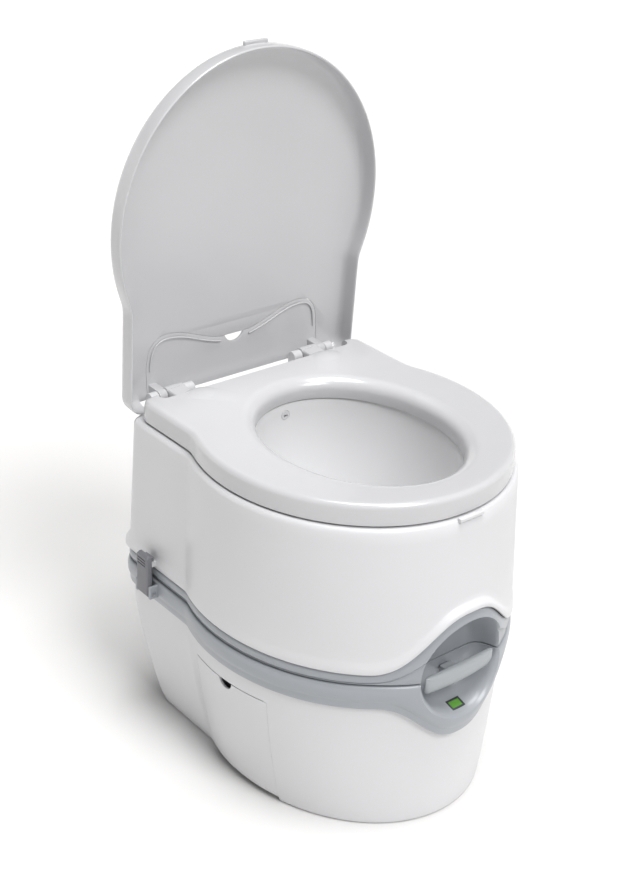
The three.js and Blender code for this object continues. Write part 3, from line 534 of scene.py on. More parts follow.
WHITE = plastic("white_shell", (211, 211, 213), 0.36, grain=0.000004, coat=0.15, scuff=0.012, wave=0.06)
# The seat, lid, hinge plate and seat feet are the same white plastic as the tanks, with more gloss and coat.
# This copy is painted darker (198 against 211) as painted shade, so their upward faces, lit by the top lamp,
# read dimmer.
SEAT_WHITE_SHADED = plastic("white_seat_painted_shade", (198, 198, 200), 0.18, grain=0.000004, coat=0.25, scuff=0.012, wave=0.06)
BOWL_WHITE = plastic("white_bowl", (218, 218, 219), 0.12, grain=0.000004, vary=0.01, coat=0.6, scuff=0.01)
GREY = plastic("grey_trim", (154, 158, 163), 0.36, grain=0.00001, scuff=0.03, coat=0.3)
BAR_GREY = plastic("grey_bar", (160, 164, 167), 0.36, grain=0.00002, scuff=0.06, coat=0.2)
LATCH_GREY = plastic("dark_grey", (118, 119, 124), 0.42, grain=0.00006, grain_scale=1100.0, vary=0.05,
                     scuff=0.08)
INNER_GREY = plastic("grey_inner", (150, 153, 156), 0.45, grain=0.00004)
RUBBER = plastic("black_rubber", (34, 34, 36), 0.62, grain=0.00005, grain_scale=900.0, vary=0.08)
FRAME_DARK = plastic("frame_dark", (58, 60, 62), 0.4, grain=0.00003, vary=0.08)
GREEN = plastic("green_flag", (88, 158, 56), 0.45, grain=0.00003, vary=0.05)
FOAM = foam_material("foam", (216, 206, 182))
STEEL = metal("steel", (198, 200, 204), 0.28)
CLEAR = clear("clear_window", (112, 178, 74), 0.08, 0.3)
HOSE = clear("clear_hose", (206, 212, 214), 0.18, 0.6)
# what each material slot of the record looks like on the nodes that keep their CAD shape
CAD_LOOKS = {"white_plastic": WHITE, "bowl_white": BOWL_WHITE, "grey_trim": INNER_GREY,
             "grey_handle": BAR_GREY, "dark_grey": LATCH_GREY, "black_rubber": RUBBER, "green_flag": GREEN,
             "clear_window": CLEAR, "steel": STEEL, "foam": FOAM, "clear_hose": HOSE}
for row in frame["record"]["subparts"]:
    for holder in frame["nodes"][row["node"]].material_slots:
        holder.material = CAD_LOOKS[row["material_slot"]]


# ---- Shared cutters ----
def dish_pocket(grow):
    rings = []
    t = np.linspace(0, 2 * math.pi, 96, endpoint=False)
    for y in (POCKET_BACK + grow, -262.0):
        rings.append(np.column_stack([(DISH_A + POCKET_CLEAR + grow) * np.cos(t), np.full(96, y),
                                      DISH_Z + (DISH_C + POCKET_CLEAR + grow) * np.sin(t)]))
    return loft(rings)


def waste_outer(shift=0.0):
    rings = [at(waste_plan(0), 5 * (1 - math.cos(u)), 5 * (1 - math.sin(u)))
             for u in np.linspace(0, math.pi / 2, 6)]
    rings += [bowed(waste_plan, z, waste_drop(z)) for z in np.r_[12:BAND_LOW:12, BAND_LOW]]
    rings += [bowed(lambda z: BAND, BAND_LOW + 0.1, drop(1), STEP), at(BAND, JOINT_Z - 0.8, STEP)]
    return moved(loft(rings), x=shift)


def waste_inner():
    rings = [at(waste_plan(WALL), WALL, WALL + 1)]
    rings += [bowed(waste_plan, z, waste_drop(z), WALL) for z in (30, 60, 90, 120, 150, 172)]
    return loft(rings + [at(BAND, JOINT_Z - 4.8, STEP + WALL)])


def door_block(grow):
    return box(-230, -80, DOOR_Y0 - grow, DOOR_Y1 + grow, DOOR_Z0 - grow, DOOR_Z1 + grow)


def swing_room(grow):
    return box(-230, PIN_X + 9 + grow, DOOR_Y0 - GAP - grow, DOOR_Y1 + GAP + grow, -10, PIN_Z + 4 + grow)


def roll_space(grow):
    return box(-230, ROLL_INNER + grow, ROLL_Y0 - grow, ROLL_Y1 + grow, ROLL_Z0 - grow, ROLL_Z1 + grow)


def spout_space(grow):
    return box(-42 - grow, 140 + grow, 170 - grow, 260, 110 - grow, 170 + grow, 8.0, 5)


def window_space(grow, shift=0.0):
    return box(-WINDOW_W - 1.8 - grow, WINDOW_W + 1.8 + grow, -230 + shift, POCKET_BACK + GAP + grow + shift,
               136.6 - grow, 163.4 + grow)


def rod_slot(y0, y1):
    return box(-6.5, 6.5, y0, y1, BLADE_Z - 2.1, BLADE_Z + 2.1)


# ---- Lower unit ----
def waste_tank():
    keep = join(dish_pocket(WALL), window_space(WALL), roll_space(2 * WALL + GAP), spout_space(WALL),
                swing_room(WALL + 2), cut(door_block(5), waste_outer(14)))
    hollow = cut(waste_inner(), keep)
    tank = cut(waste_outer(), hollow)
    tank = cut(tank, dish_pocket(0), window_space(0), roll_space(WALL + GAP), spout_space(0),
               cut(door_block(GAP), waste_outer(10)), swing_room(0),
               rod("y", VENT_R + GAP, 190, 240, (VENT_X, VENT_Z)),
               rod("z", OUTLET_R + 10, JOINT_Z - 8, JOINT_Z + 5, (0, OUTLET_Y)),
               rod_slot(-190, -140), window_space(0, 20),
               rod("z", SPOUT_BORE, 100, 112, (SPOUT_X, SPOUT_Y)),
               rod("y", PIN_R + GAP, DOOR_Y0 - 4.4, DOOR_Y1 + 4.4, (PIN_X, PIN_Z)))
    return tank


done(waste_tank(), "waste_tank_shell", "tanks", WHITE, "white_plastic", "waste_tank")


# A band section: (height, share of the bow, how far it stands proud of the band plan, share of the swell).
LOWER_SECTION = [(180.6, 1, -0.6, 0), (181, 1, 0.7, 0), (181.8, 1, 1.6, 0.05), (183, 1, 2.1, 0.1),
                 (189, 0.99, 2.2, 0.2), (191, 0.98, 2.35, 0.3), (192.4, 0.98, 3.0, 0.4), (194, 0.97, 4.0, 0.55),
                 (196.5, 0.95, 4.7, 0.65), (200, 0.92, 5.0, 0.75), (203, 0.88, 5.0, 0.8), (205, 0.7, 4.9, 0.85),
                 (207.5, 0.35, 4.5, 0.88), (210, 0.08, 3.7, 0.9), (211.6, 0, 2.5, 0.9), (212.4, 0, 1.2, 0.9),
                 (212.5, 0, -0.4, 0.9)]
UPPER_SECTION = [(214.5, 0, -0.6, 0.9), (214.7, 0, 0.7, 0.9), (215.3, 0.02, 1.4, 0.9), (215.8, 0.6, 1.3, 0.9),
                 (216.2, 0.66, 0.4, 0.85), (216.8, 0.68, 0.2, 0.85), (217.3, 0.7, 1.5, 0.92),
                 (218.4, 0.74, 2.4, 1.0), (221, 0.82, 2.7, 0.8), (225.0, 0.93, 2.4, 0.4),
                 (227.2, 0.98, 1.7, 0.1), (228.1, 1, 0.6, 0), (228.4, 1, -0.6, 0)]
# The dish: (share of the way back, share of its full size), from its floor out to the rim and past it.
DISH_SECTION = [(1, 0.02), (1, 0.35), (1, 0.55), (0.985, 0.63), (0.94, 0.70), (0.87, 0.76), (0.78, 0.806),
                (0.66, 0.843), (0.524, 0.872), (0.39, 0.896), (0.262, 0.917), (0.16, 0.936), (0.09, 0.956),
                (0.04, 0.978), (0, 1.0), (-0.06, 1.03), (-0.3, 1.06)]


def dish(grow):
    t = np.linspace(0, 2 * math.pi, 128, endpoint=False)
    rings = []
    for depth, k in DISH_SECTION + [(None, 1.06)]:
        extra = grow * min(1.0, k * 1.6)
        x, up = (k * DISH_A + extra) * np.cos(t), (k * DISH_C + extra) * np.sin(t)
        rim = DISH_FRONT + DISH_CURVE * (x / DISH_A) ** 2
        y = np.full(len(t), -262.0) if depth is None else mix(rim, DISH_BACK + grow, depth)
        rings.append(np.column_stack([x, y, DISH_Z + up]))
    return loft(rings)


def trim_half(section, shift, far):
    """One half of the band: a hoop in the tanks' step with its half of the dish."""
    outer = [bowed(lambda h: BAND, z, shift(share), -out, swollen) for z, share, out, swollen in section]
    inner = [bowed(lambda h: BAND, section[k][0], shift(section[k][1]), STEP - GAP) for k in (-1, 0)]
    hoop = loft(outer + inner, closed=True)
    flat = at(BAND, far, -1)
    solid = loft([flat] + outer if far < section[0][0] else outer + [flat])
    return join(hoop, common(dish(DISH_WALL), solid))


def window_block(grow, above, below, round_by=0.0):
    """The sloping block under the window's face, between two depths below it."""
    w, d = WINDOW_W + grow, WINDOW_L + grow
    block = box(-w, w, -d, d, -below, -above, round_by)
    tilt = Matrix.Rotation(math.radians(WINDOW_TILT), 4, "X")
    block.data.transform(Matrix.Translation((0, WINDOW_Y, WINDOW_Z)) @ tilt)
    return block


def trim_lower():
    half = LATCH_W / 2
    low, high = BAND_LOW + 12, JOINT_Z - 4
    ears = both(join(box(179, 193.5, LATCH_Y - half - 4.5, LATCH_Y - half - 0.5, low, high, 1.2),
                     box(179, 193.5, LATCH_Y + half + 0.5, LATCH_Y + half + 4.5, low, high, 1.2)))
    body = cut(join(trim_half(LOWER_SECTION, drop, 100), ears), dish(0))
    room = both(box(181.2, 210, LATCH_Y - half - GAP, LATCH_Y + half + GAP, BAND_LOW - 5, JOINT_Z + 5))
    holes = both(rod("y", PIN_R + GAP, LATCH_Y - 20, LATCH_Y + 20, (LATCH_X, LATCH_PIVOT)))
    hardware = box(-WINDOW_W - GAP, WINDOW_W + GAP, -215.6, -160, 139, 157.2)
    return cut(body, room, holes, hardware, window_block(GAP, -6, 12), rod_slot(-215, -160))


def trim_upper():
    return cut(trim_half(UPPER_SECTION, rise, 310), dish(0))


done(trim_lower(), "trim_lower_shell", "tanks", GREY, "grey_trim", "trim_lower")
done(trim_upper(), "trim_upper_shell", "tanks", GREY, "grey_trim", "trim_upper")


def roll_door():
    panel = common(door_block(0), waste_outer())
    panel = cut(panel, waste_outer(3.2))
    for y in (ROLL_Y0 + 4, ROLL_Y1 - 10):
        arm = common(box(-170, PIN_X + 5, y, y + 6, PIN_Z - 5, PIN_Z + 5), waste_outer(1.5))
        panel = join(panel, arm)
    notch = rod("x", NOTCH_R, -230, -100, ((DOOR_Y0 + DOOR_Y1) / 2, DOOR_Z1), 40)
    bore = rod("y", PIN_R + GAP, -150, 120, (PIN_X, PIN_Z), 32)
    return soften(cut(panel, notch, bore), 0.8, 3)


done(roll_door(), "roll_door_panel", "side_door", WHITE, "white_plastic", "roll_door")


def superellipse(half_y, half_z, power, count=40):
    t = np.linspace(0, 2 * math.pi, count, endpoint=False)
    c, s = np.cos(t), np.sin(t)
    return np.sign(c) * np.abs(c) ** (2 / power) * half_y, np.sign(s) * np.abs(s) ** (2 / power) * half_z


def pull_bar():
    """The pull bar: a shallow arch of rounded section whose ends round off."""
    rings = []
    stations = [-1.0, -0.995, -0.98, -0.95, -0.9, -0.8, -0.65, -0.5, -0.35, -0.2, -0.07]
    stations = stations + [-s for s in stations[::-1]]
    for s in stations:
        tip_round = math.sqrt(max(1 - max(abs(s) - 0.88, 0) ** 2 / 0.12 ** 2, 0.02))
        x = s * BAR_HALF
        front = BAR_FRONT + 4.5 * s * s
        back = BAR_FRONT + BAR_THICK - s * s
        half_y, half_z = (back - front) / 2 * tip_round, (BAR_HIGH - BAR_LOW) / 2 * mix(0.8, 1, tip_round)
        dy, dz = superellipse(half_y, half_z, 3.4)
        tip = np.clip(-dz / half_z, 0, 1) * 3.2  # the underside leans back
        narrow = 1 - 0.05 * np.clip(-dz / half_z, 0, 1)
        rings.append(np.column_stack([x * narrow, (front + back) / 2 + dy + tip,
                                      (BAR_LOW + BAR_HIGH) / 2 + dz]))
    bar = loft(rings)
    boss = box(-9, 9, BAR_FRONT + 8, -186.8, BLADE_Z - 5, BLADE_Z + 5, 1.5)
    room = box(-5.9, 5.9, -203, -18, BLADE_Z - 1.9, BLADE_Z + 1.9)
    return cut(join(bar, boss), room)


done(pull_bar(), "pull_bar", "valve", BAR_GREY, "grey_handle", "valve_handle")


def frame_ring():
    """A thin dark frame round the level window."""
    return cut(window_block(1.5, -0.9, 0.6, 0.4), window_block(-0.9, -3, 5, 0.4),
               window_block(0.1, WINDOW_PROUD - GAP, 5))


def window_cup():
    w = WINDOW_W
    cup = join(window_block(0, -WINDOW_PROUD, 8, 0.3), box(-w, w, -215.2, -190, 139.5, 155),
               box(-w, w, -204.6, -190, 150, 156.8), box(-w, w, -190.5, -166, 137, 162),
               box(-w - 1.4, w + 1.4, -171.2, -169, 137, 163))
    v = w - 1.5
    return cut(cup, window_block(-1.5, 1.2, 9), box(-v, v, -213.7, -160, 141, 153.8),
               box(-v, v, -203.5, -160, 150, 155.4), box(-v, v, -189, -160, 138.5, 160.6),
               rod("x", 1.85, -30, 30, (DRUM_Y, DRUM_Z)))


done(window_cup(), "level_window_cup", "tanks", CLEAR, "clear_window", "level_window")
done(frame_ring(), "level_window_frame", "tanks", FRAME_DARK, "black_rubber")


# ---- Upper unit ----
def flush_outer():
    rings = [at(BAND, JOINT_Z + 1, STEP), bowed(lambda z: BAND, BAND_HIGH, rise(1), STEP)]
    for u in np.linspace(0, math.pi / 2, 5):
        z, inset = BAND_HIGH + 0.05 + 2.4 * (1 - math.cos(u)), 2.4 * (1 - math.sin(u))
        rings.append(bowed(lambda h: LIP, z, rise(1), inset))
    low, top = BAND_HIGH + 5, BAND_HIGH + 18
    for t in (0.0, 0.2, 0.4, 0.6, 0.8, 1.0):
        z = mix(low, top, t)
        rings.append(bowed(lambda h: mixed(LIP, flush_plan(h), ease(t)), z, flush_rise(z)))
    rings += [bowed(flush_plan, z, flush_rise(z)) for z in np.linspace(top + 12, LEDGE_Z - 6, 12)]
    rings += [at(flush_plan(LEDGE_Z), LEDGE_Z - 6 + 6 * math.sin(u), 6 * (1 - math.cos(u)))
              for u in np.linspace(0.15, math.pi / 2, 7)]
    return loft(rings)


def flush_inner():
    rings = [at(BAND, JOINT_Z + 4.5, STEP + WALL), bowed(lambda z: BAND, BAND_HIGH, rise(1), STEP + WALL)]
    rings += [bowed(flush_plan, z, flush_rise(z), WALL + 0.5)
              for z in (BAND_HIGH + 8, 262, 290, 320, 350, 380)]
    return loft(rings + [at(flush_plan(LEDGE_Z), LEDGE_Z - 3.4, WALL + 0.5)])


def flush_tank():
    keep = join(dish_pocket(WALL), box(-230, 230, TROUGH_Y - 4, 260, TROUGH_Z - 4, 440),
                box(166, 230, PUMP_Y - 32, PUMP_Y + 32, PUMP_Z - 32, PUMP_Z + 32),
                rod("y", 34, 206, 240, (FILLER_X, FILLER_Z)))
    tank = cut(flush_outer(), cut(flush_inner(), keep))
    tank = cut(tank, dish_pocket(0), loft([oval(120, 143, BOWL_Y, z) for z in (LEDGE_Z - 20, LEDGE_Z + 5)]),
               rod("z", OUTLET_R + 10, JOINT_Z - 5, JOINT_Z + 12, (0, OUTLET_Y)),
               box(-230, 230, TROUGH_Y, 260, TROUGH_Z, 440),
               rod("x", PUMP_R + GAP, 150, 230, (PUMP_Y, PUMP_Z)),
               rod("x", PUMP_R + 5, 174, 230, (PUMP_Y, PUMP_Z)),
               rod("y", FILLER_BORE, 190, 240, (FILLER_X, FILLER_Z)),
               rod("y", FILLER_BORE + 8, 212, 260, (FILLER_X, FILLER_Z)))
    strikes = both(box(178, 185.5, LATCH_Y - 9, LATCH_Y + 9, 233, 240))
    tab = box(-18, 18, -207.3, -201.5, LEDGE_Z - 3, LEDGE_Z + 1.6, 1.0)
    return join(tank, tab, strikes)


def ball(centre, radii, subdivisions=4):
    bm = bmesh.new()
    bmesh.ops.create_icosphere(bm, subdivisions=subdivisions, radius=1)
    for v in bm.verts:
        v.co = Vector(c + r * n for c, r, n in zip(centre, radii, v.co))
    return placed("ball", written(bm, bpy.data.meshes.new("ball")))


done(flush_tank(), "flush_tank_shell", "tanks", WHITE, "white_plastic", "flush_tank")


def bowl():
    top = LEDGE_Z + 1.7
    heights = [JOINT_Z + 14, 270, 320, 365, 395, top]
    half = [OUTLET_R, 66, 88, 104, 111, 113]
    reach = [OUTLET_R, 74, 104, 126, 134, 136]
    mid = [OUTLET_Y, 12, 0, -10, -13, BOWL_Y]

    def smooth(values, z):
        """A smooth curve through the funnel's stations."""
        from_z = np.array(heights)
        slopes = np.gradient(np.array(values, float), from_z)
        k = int(np.clip(np.searchsorted(from_z, z) - 1, 0, len(from_z) - 2))
        h = from_z[k + 1] - from_z[k]
        t = (z - from_z[k]) / h
        h00, h10 = 2 * t**3 - 3 * t**2 + 1, t**3 - 2 * t**2 + t
        h01, h11 = -2 * t**3 + 3 * t**2, t**3 - t**2
        return h00 * values[k] + h10 * h * slopes[k] + h01 * values[k + 1] + h11 * h * slopes[k + 1]

    def ring(z, grow):
        z_in = max(z, heights[0])
        return oval(smooth(half, z_in) + grow, smooth(reach, z_in) + grow, smooth(mid, z_in), z)

    steps = np.linspace(JOINT_Z + 14, LEDGE_Z - 2, 24)
    inner = [ring(JOINT_Z + 1.3, 0)] + [ring(z, 0) for z in steps]
    rim = [oval(113 + g, 136 + g, BOWL_Y, z) for g, z in
           ((0.2, LEDGE_Z - 0.6), (0.8, top - 0.7), (1.8, top - 0.15), (3, top), (11, top), (12.4, top - 0.3),
            (13, LEDGE_Z + GAP), (7, LEDGE_Z + GAP))]
    outer = [ring(z, 3.5) for z in steps[::-1]] + [ring(JOINT_Z + 1.3, 3.5)]
    shell = loft(inner + rim + outer, closed=True)
    foot = cut(rod("z", OUTLET_R + 16, JOINT_Z + 6.2, JOINT_Z + 9, (0, OUTLET_Y)),
               rod("z", OUTLET_R + 1, JOINT_Z, JOINT_Z + 20, (0, OUTLET_Y)))
    return cut(join(shell, foot), rod("y", NOZZLE_R + GAP, 80, 160, (0, NOZZLE_Z)))


done(bowl(), "bowl_funnel", "tanks", BOWL_WHITE, "bowl_white", "bowl")


def by_angle(outline, count, centre_y):
    """Resamples a star-shaped outline at even angles about (0, centre_y), from the front."""
    angles = np.unwrap(np.arctan2(outline[:, 0], -(outline[:, 1] - centre_y)))
    closed = np.r_[angles, angles[0] + 2 * math.pi]
    pts = np.concatenate([outline, outline[:1]])
    t = np.linspace(0, 2 * math.pi, count, endpoint=False)
    return np.stack([np.interp(t, closed, pts[:, i], period=2 * math.pi) for i in (0, 1)], 1)


def seat():
    count = 260

    def edge(inset, z):
        return level(by_angle(keyhole(**SEAT, inset=inset), count, HOLE_Y), z)

    def rim(grow, z):
        return oval(HOLE_A + grow, HOLE_C + grow, HOLE_Y, z, count)

    sides = [(3.4, 411.2), (0.6, 411.2), (0.1, 411.8), (0.0, 413.5), (0.0, 424), (0.15, 430)]
    outer = [edge(inset, z) for inset, z in sides]
    outer += [edge(7 * (1 - math.cos(u)) + 0.2, SEAT_TOP - 6.4 + 6.4 * math.sin(u))
              for u in np.linspace(0.2, math.pi / 2, 8)]
    flat = [edge(14, SEAT_TOP)]
    roll = [(18.5, 0), (15, 0.1), (12.5, 0.6), (9.5, 1.9), (6.5, 3.6), (3.8, 5.8), (1.9, 8.2),
            (0.6, 11), (0, 14)]
    crease = [rim(grow, SEAT_TOP - fall) for grow, fall in roll]
    crease += [rim(0, 420), rim(0, 413), rim(0.4, 411.8), rim(1.2, 411.2), rim(3.2, 411.2)]
    under = [rim(4, 413), rim(4, 421), rim(6, 426), rim(11, 431), rim(18, 433.6),
             edge(9, 433.6), edge(5.2, 432), edge(3.8, 428), edge(3.4, 413)]
    shell = loft(outer + flat + crease + under, closed=True)
    rear_fill = common(box(-200, 200, 169, 230, 411.2, 436),
                       loft([at(SEAT, 400, 0.8), at(SEAT, 430, 0.8), at(SEAT, 433.5, 2.2), at(SEAT, 437, 6)]))
    shell = join(shell, rear_fill)
    shell = cut(shell, box(-HINGE_ROOM, HINGE_ROOM, 173, 260, 380, 470, 9.0, 5))
    for side in (1, -1):
        x = side * HINGE_X
        arm = box(x - 13, x + 13, 158, HINGE_Y, HINGE_Z - 6, HINGE_Z + 8, 3.0)
        shell = join(shell, arm, rod("x", 9, x - 13, x + 13, (HINGE_Y, HINGE_Z), 48, 1.2))
        dome = ball((side * 97, 160, 429.5), (31, 24, 10))
        shell = join(shell, cut(dome, box(-200, 200, 100, 260, 380, 412)))
    bores = rod("x", HINGE_PIN + GAP, -160, 160, (HINGE_Y, HINGE_Z))
    return soften(cut(shell, bores), 1.2, 3, 30)


done(seat(), "seat_ring", "seat_body", SEAT_WHITE_SHADED, "white_plastic", "seat")

OPEN = (Matrix.Translation((0, HINGE_Y, HINGE_Z)) @ Matrix.Rotation(math.radians(-LID_OPEN), 4, "X")
        @ Matrix.Translation((0, -HINGE_Y, -HINGE_Z)))


def opened(piece):
    piece.data.transform(OPEN)
    return piece


def lid_solid():
    outer = [at(LID, LID_EDGE + 0.9, 0.25), at(LID, LID_EDGE + 2, 0), at(LID, 421, 0.1), at(LID, 429, 0.3)]
    outer += [at(LID, 429 + 11.6 * math.sin(u), 0.3 + 9.7 * (1 - math.cos(u)))
              for u in np.linspace(0.25, 1.35, 7)]
    outer += [at(LID, 441.7, 13), at(LID, 443.4, 22), at(LID, 445.3, 45), at(LID, LID_TOP, 74)]
    inner = [at(LID, LID_EDGE + 0.9, 2.75), at(LID, LID_EDGE + 2, 3.0), at(LID, 421, 3.1), at(LID, 427, 3.3)]
    inner += [at(LID, 427 + 10.4 * math.sin(u), 3.3 + 8.7 * (1 - math.cos(u)))
              for u in np.linspace(0.25, 1.35, 7)]
    inner += [at(LID, 438.6, 15), at(LID, 440.3, 24), at(LID, 442.2, 46), at(LID, LID_TOP - 3.2, 76)]
    edge = [at(LID, LID_EDGE, 2.0), at(LID, LID_EDGE, 1.0)]
    lid = loft(inner[::-1] + edge + outer)
    tab = box(-17, 17, -208.8, -203, 428, 432.5, 1.6)
    return cut(join(lid, cut(tab, loft([at(LID, 405, 2), at(LID, 440, 2)]))),
               box(-HINGE_ROOM, HINGE_ROOM, 190, 240, 400, 437.5))


def panel_outline(grow, count=24):
    """The hinge panel's wavy edge, in plan, from its right rear corner to its left one."""
    half = 133 + grow
    curves = [((half, 185), (half, 150 - grow), (118, 139 - grow), (98, 141 - grow)),
              ((98, 141 - grow), (70, 143 - grow), (50, 160 - grow), (18, 164 - grow)),
              ((-18, 164 - grow), (-50, 160 - grow), (-70, 143 - grow), (-98, 141 - grow)),
              ((-98, 141 - grow), (-118, 139 - grow), (-half, 150 - grow), (-half, 185))]
    points = []
    for p in curves:
        p = np.array(p, float)
        for t in np.linspace(0, 1, count):
            points.append((1 - t) ** 3 * p[0] + 3 * t * (1 - t) ** 2 * p[1] + 3 * t * t * (1 - t) * p[2]
                          + t**3 * p[3])
    return np.array(points)


def panel_prism(grow, low, high):
    line = panel_outline(grow)
    half = 133 + grow
    ring = np.concatenate([[[-half, 240], [half, 240]], line])
    return loft([level(ring, low), level(ring, high)])


def lid():
    return opened(soften(cut(lid_solid(), panel_prism(0, 400, 460)), 0.8, 3, 30))


def bead(points, radius, z, count=10):
    """A raised line of round section along points (x, y), at height z."""
    rings = []
    for i, p in enumerate(points):
        ahead = points[min(i + 1, len(points) - 1)] - points[max(i - 1, 0)]
        ahead = ahead / max(np.linalg.norm(ahead), 1e-6)
        side = np.array([ahead[1], -ahead[0]])
        t = np.linspace(0, 2 * math.pi, count, endpoint=False)
        rings.append(np.column_stack([p[0] + radius * np.cos(t) * side[0],
                                      p[1] + radius * np.cos(t) * side[1],
                                      z + radius * np.sin(t)]))
    return loft(rings)


def lid_hinge_panel():
    plate = common(lid_solid(), panel_prism(-0.5, 430, 460))
    plate = cut(plate, rod("z", PANEL_NOTCH, 420, 460, (0, PANEL_NOTCH_Y), 48))
    for s in (1, -1):
        low, high = min(s * 118.6, s * 130), max(s * 118.6, s * 130)
        plate = join(plate, box(low, high, HINGE_Y - 8, HINGE_Y + 8, HINGE_Z, 440, 1.0),
                     rod("x", 8, low, high, (HINGE_Y, HINGE_Z), 40, 0.8))
    line = panel_outline(-5.5)
    keep = np.hypot(line[:, 0], line[:, 1] - PANEL_NOTCH_Y) > PANEL_NOTCH + 7
    for part in (line[keep & (line[:, 0] > 0)], line[keep & (line[:, 0] < 0)]):
        plate = join(plate, bead(part, 1.1, 441.0))
    bores = rod("x", HINGE_PIN + GAP, -160, 160, (HINGE_Y, HINGE_Z))
    return opened(soften(cut(plate, bores), 0.7, 3, 30))


done(lid(), "lid_shell", "lid_body", SEAT_WHITE_SHADED, "white_plastic", "lid")
done(lid_hinge_panel(), "lid_hinge_plate", "lid_body", SEAT_WHITE_SHADED, "white_plastic", "lid_hinge_panel")


# ---- Hinges, latches, spout, buttons ----
def hinge_block(side):
    def span(a, b):
        return min(side * a, side * b), max(side * a, side * b)

    base = box(*span(78, 142), HINGE_Y - 10, HINGE_Y + 7, TROUGH_Z + GAP, TROUGH_Z + 4.5, 1.0)
    for a, b in ((78, 91.4), (130.6, 142)):
        base = join(base, box(*span(a, b), HINGE_Y - 8, HINGE_Y + 7, TROUGH_Z + GAP, HINGE_Z, 0.8),
                    rod("x", 7.5, *span(a, b), (HINGE_Y - 0.5, HINGE_Z), 40, 0.8))
    return cut(base, rod("x", HINGE_PIN + 0.05, *span(80, 140), (HINGE_Y, HINGE_Z)))


def latch(side):
    y0, y1 = LATCH_Y - LATCH_W / 2, LATCH_Y + LATCH_W / 2
    body = join(box(186.2, 195, y0, y1, LATCH_PIVOT, LATCH_TOP - 1.5, 2.6, 5),
                rod("y", 6.5, y0, y1, (LATCH_X, LATCH_PIVOT), 40, 0.8),
                box(187.5, 193.5, y0 + 1, y1 - 1, LATCH_TOP - 6, LATCH_TOP, 2.2, 4),
                box(181.6, 188, LATCH_Y - 8, LATCH_Y + 8, 240.6, 246, 0.8))
    grips = [box(193.9, 200, y0 + 3, y1 - 3, z, z + 1.6) for z in (236, 240, 244)]
    piece = cut(body, rod("y", PIN_R + GAP, y0 - 5, y1 + 5, (LATCH_X, LATCH_PIVOT)), *grips)
    if side < 0:
        twin = mirrored(piece)
        bpy.data.objects.remove(piece)
        return twin
    return piece


def spout():
    x, y, z, r, bore = SPOUT_X, SPOUT_Y, SPOUT_Z, SPOUT_R, SPOUT_BORE
    outer = join(rod("z", r, 113.4, z, (x, y)), rod("x", r, x, x - SPOUT_LEN, (y, z), 48, 0.9),
                 ball((x, y, z), (r, r, r)))
    inner = join(rod("z", bore, 105, z, (x, y)), rod("x", bore, x, x - SPOUT_LEN - 4, (y, z)),
                 ball((x, y, z), (bore, bore, bore)))
    collar = rod("z", r + 2.2, 116, 121, (x, y), 48, 1.2)
    return soften(cut(join(outer, collar), inner), 0.6, 2)


def spout_cap():
    y, z, r = SPOUT_Y, SPOUT_Z, SPOUT_R
    end = SPOUT_X - SPOUT_LEN
    cap = rod("x", r + 3.4, end - 6, end + 14, (y, z), 60, 1.4)
    ribs = []
    for i in range(20):
        t = 2 * math.pi * i / 20
        ribs.append(rod("x", 1.0, end - 3, end + 11,
                        (y + (r + 3.7) * math.cos(t), z + (r + 3.7) * math.sin(t)), 12))
    cap = cut(cap, *ribs)
    cap = cut(cap, rod("x", r + GAP, end - GAP, end + 20, (y, z)))
    return join(cap, box(end - 13.9, end - 5, y - 2.5, y + 2.5, z - 11, z + 11, 1.4))


def filler_cap():
    centre = (FILLER_X, FILLER_Z)
    disc = rod("y", FILLER_BORE + 6.5, 213.7, 219.5, centre, 72, 1.5)
    notches = [rod("y", 1.6, 200, 230, (FILLER_X + (FILLER_BORE + 7.4) * math.cos(t),
                                        FILLER_Z + (FILLER_BORE + 7.4) * math.sin(t)), 14)
               for t in np.linspace(0, 2 * math.pi, 24, endpoint=False)]
    disc = cut(disc, *notches)
    plug = cut(rod("y", FILLER_BORE - GAP, 202, 214, centre), rod("y", FILLER_BORE - 4, 200, 212, centre))
    grip = box(FILLER_X - 17, FILLER_X + 17, 217, 225, FILLER_Z - 3, FILLER_Z + 3, 2.0, 4)
    return join(disc, plug, grip)


def pump_button():
    centre = (PUMP_Y, PUMP_Z)
    r = PUMP_R - 0.2
    profile = [(144, r), (178.8, r), (180.2, r - 0.4), (181.3, r - 1.3), (181.9, r - 2.6), (181.9, r - 4.0),
               (181.2, r - 5.4), (180.4, r - 8.0), (179.9, r - 12), (179.7, r - 18), (179.6, 1.0)]
    button = turned("x", profile, centre, 72)
    return cut(button, rod("x", PUMP_R - 4, 140, 176.5, centre))


def vent_button():
    centre = (VENT_X, VENT_Z)
    profile = [(196, VENT_R), (215.7, VENT_R), (216.8, VENT_R - 0.5), (217.4, VENT_R - 1.6),
               (217.2, VENT_R - 3), (216.7, VENT_R - 5), (216.5, 0.8)]
    return cut(turned("y", profile, centre, 48), rod("y", 7, 190, 206, centre))


def ring_cup():
    centre = (VENT_X, VENT_Z)
    return cut(rod("y", 12.5, 183, 210.8, centre, 48, 0.8), rod("y", 10, 185.5, 220, centre),
               rod("y", 2, 180, 190, centre))


for side, word in ((-1, "left"), (1, "right")):
    done(hinge_block(side), f"hinge_bracket_{word}", "tanks", WHITE, "white_plastic", f"hinge_block_{word}")
    done(latch(side), f"latch_lever_{word}", f"latch_{word[0]}", LATCH_GREY, "dark_grey", f"latch_{word}")
done(spout(), "spout_pipe", "pour_spout", GREY, "grey_trim", "spout")
done(spout_cap(), "spout_screw_cap", "pour_cap", LATCH_GREY, "grey_trim", "spout_cap")
done(filler_cap(), "filler_screw_cap", "filler", LATCH_GREY, "grey_trim", "filler_cap")
done(pump_button(), "pump_plunger", "pump", GREY, "grey_trim", "pump_button")
done(vent_button(), "vent_plunger", "vent", GREY, "grey_trim", "vent_button")
done(ring_cup(), "vent_cup", "tanks", GREY, "grey_trim", "vent_housing")

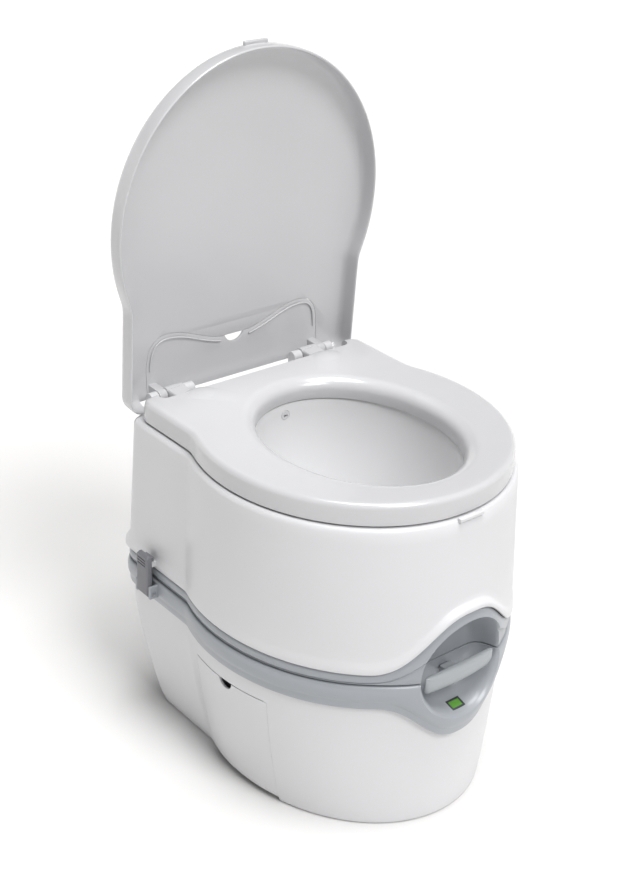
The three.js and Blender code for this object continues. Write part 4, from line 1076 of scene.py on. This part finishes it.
BUMPERS = [(-100, -140), (100, -140), (-150, 60), (150, 60)]
for i, (x, y) in enumerate(BUMPERS):
    foot = rod("z", 6, LEDGE_Z + 0.4, 432.1, (x, y), 40, 0.9)
    done(foot, f"seat_foot_{i + 1}", "seat_body", SEAT_WHITE_SHADED, "white_plastic", f"seat_bumper_{i + 1}")


# ---- Stage: one pale sheet, flat round the object and rising far out on every side ----
def stage_sheet():
    line = [(0.02, 0.0), (1.0, 0.0), (2.5, 0.0), (5.0, 0.0)]
    line += [(5.0 + 2.0 * math.sin(u), 2.0 * (1 - math.cos(u))) for u in np.linspace(0.15, math.pi / 2, 12)]
    line += [(7.0, 3.0)]
    count = 96
    turn = np.linspace(0, 2 * math.pi, count, endpoint=False)
    verts = [(r * math.cos(t), r * math.sin(t), z) for r, z in line for t in turn]
    faces = [tuple(range(count))]
    for k in range(len(line) - 1):
        for i in range(count):
            j = (i + 1) % count
            faces.append((k * count + i, k * count + j, (k + 1) * count + j, (k + 1) * count + i))
    mesh = bpy.data.meshes.new("floor")
    mesh.from_pydata(verts, [], faces)
    for face in mesh.polygons:
        face.use_smooth = True
    floor = placed("floor", mesh)
    material, tree, shader = nodes_of("floor_sheet")
    coords = tree.nodes.new("ShaderNodeTexCoord").outputs["Object"]
    patches = spread(tree, noise_node(tree, coords, 1.4), 0, 1)
    colour = blend_colour(tree, patches, [0.74, 0.735, 0.73, 1], [0.78, 0.775, 0.77, 1])
    tree.links.new(colour, shader.inputs["Base Color"])
    shader.inputs["Roughness"].default_value = 0.85
    shader.inputs["Specular IOR Level"].default_value = 0.2
    floor.data.materials.append(material)


stage_sheet()


def soft_sun(name, place, power, spread_deg):
    light = bpy.data.lights.new(name, "SUN")
    light.energy = power
    light.angle = math.radians(spread_deg)
    lamp = placed(name, light)
    lamp.location = place
    lamp.rotation_euler = (-Vector(place)).to_track_quat("-Z", "Y").to_euler()


soft_sun("key", (-0.05, -1.8, 2.2), 1.75, 24)
soft_sun("top", (0.1, -0.2, 3.0), 2.25, 30)

world = bpy.data.worlds.new("studio")
world.use_nodes = True
bpy.context.scene.world = world
tree = world.node_tree
sky = tree.nodes["Background"]
sky.inputs[0].default_value = (1, 1, 1, 1)
towards = tree.nodes.new("ShaderNodeVectorMath")
towards.operation = "DOT_PRODUCT"
towards.inputs[1].default_value = (0.1, -0.75, 0.65)
tree.links.new(tree.nodes.new("ShaderNodeTexCoord").outputs["Generated"], towards.inputs[0])
tree.links.new(spread(tree, towards.outputs["Value"], 0.0, 0.45, (-0.1, 0.95)), sky.inputs[1])

# ---- Camera ----
lens = bpy.data.cameras.new("camera")
lens.lens = 61.95
lens.sensor_width = 36.0
lens.clip_end = 50.0
camera = placed("camera", lens)
camera.location = (-1.0735, -1.1961, 1.2451)
camera.rotation_euler = [math.radians(a) for a in (62.26, -2.52, -39.44)]
bpy.context.scene.camera = camera
bpy.context.scene.view_settings.view_transform = "Standard"
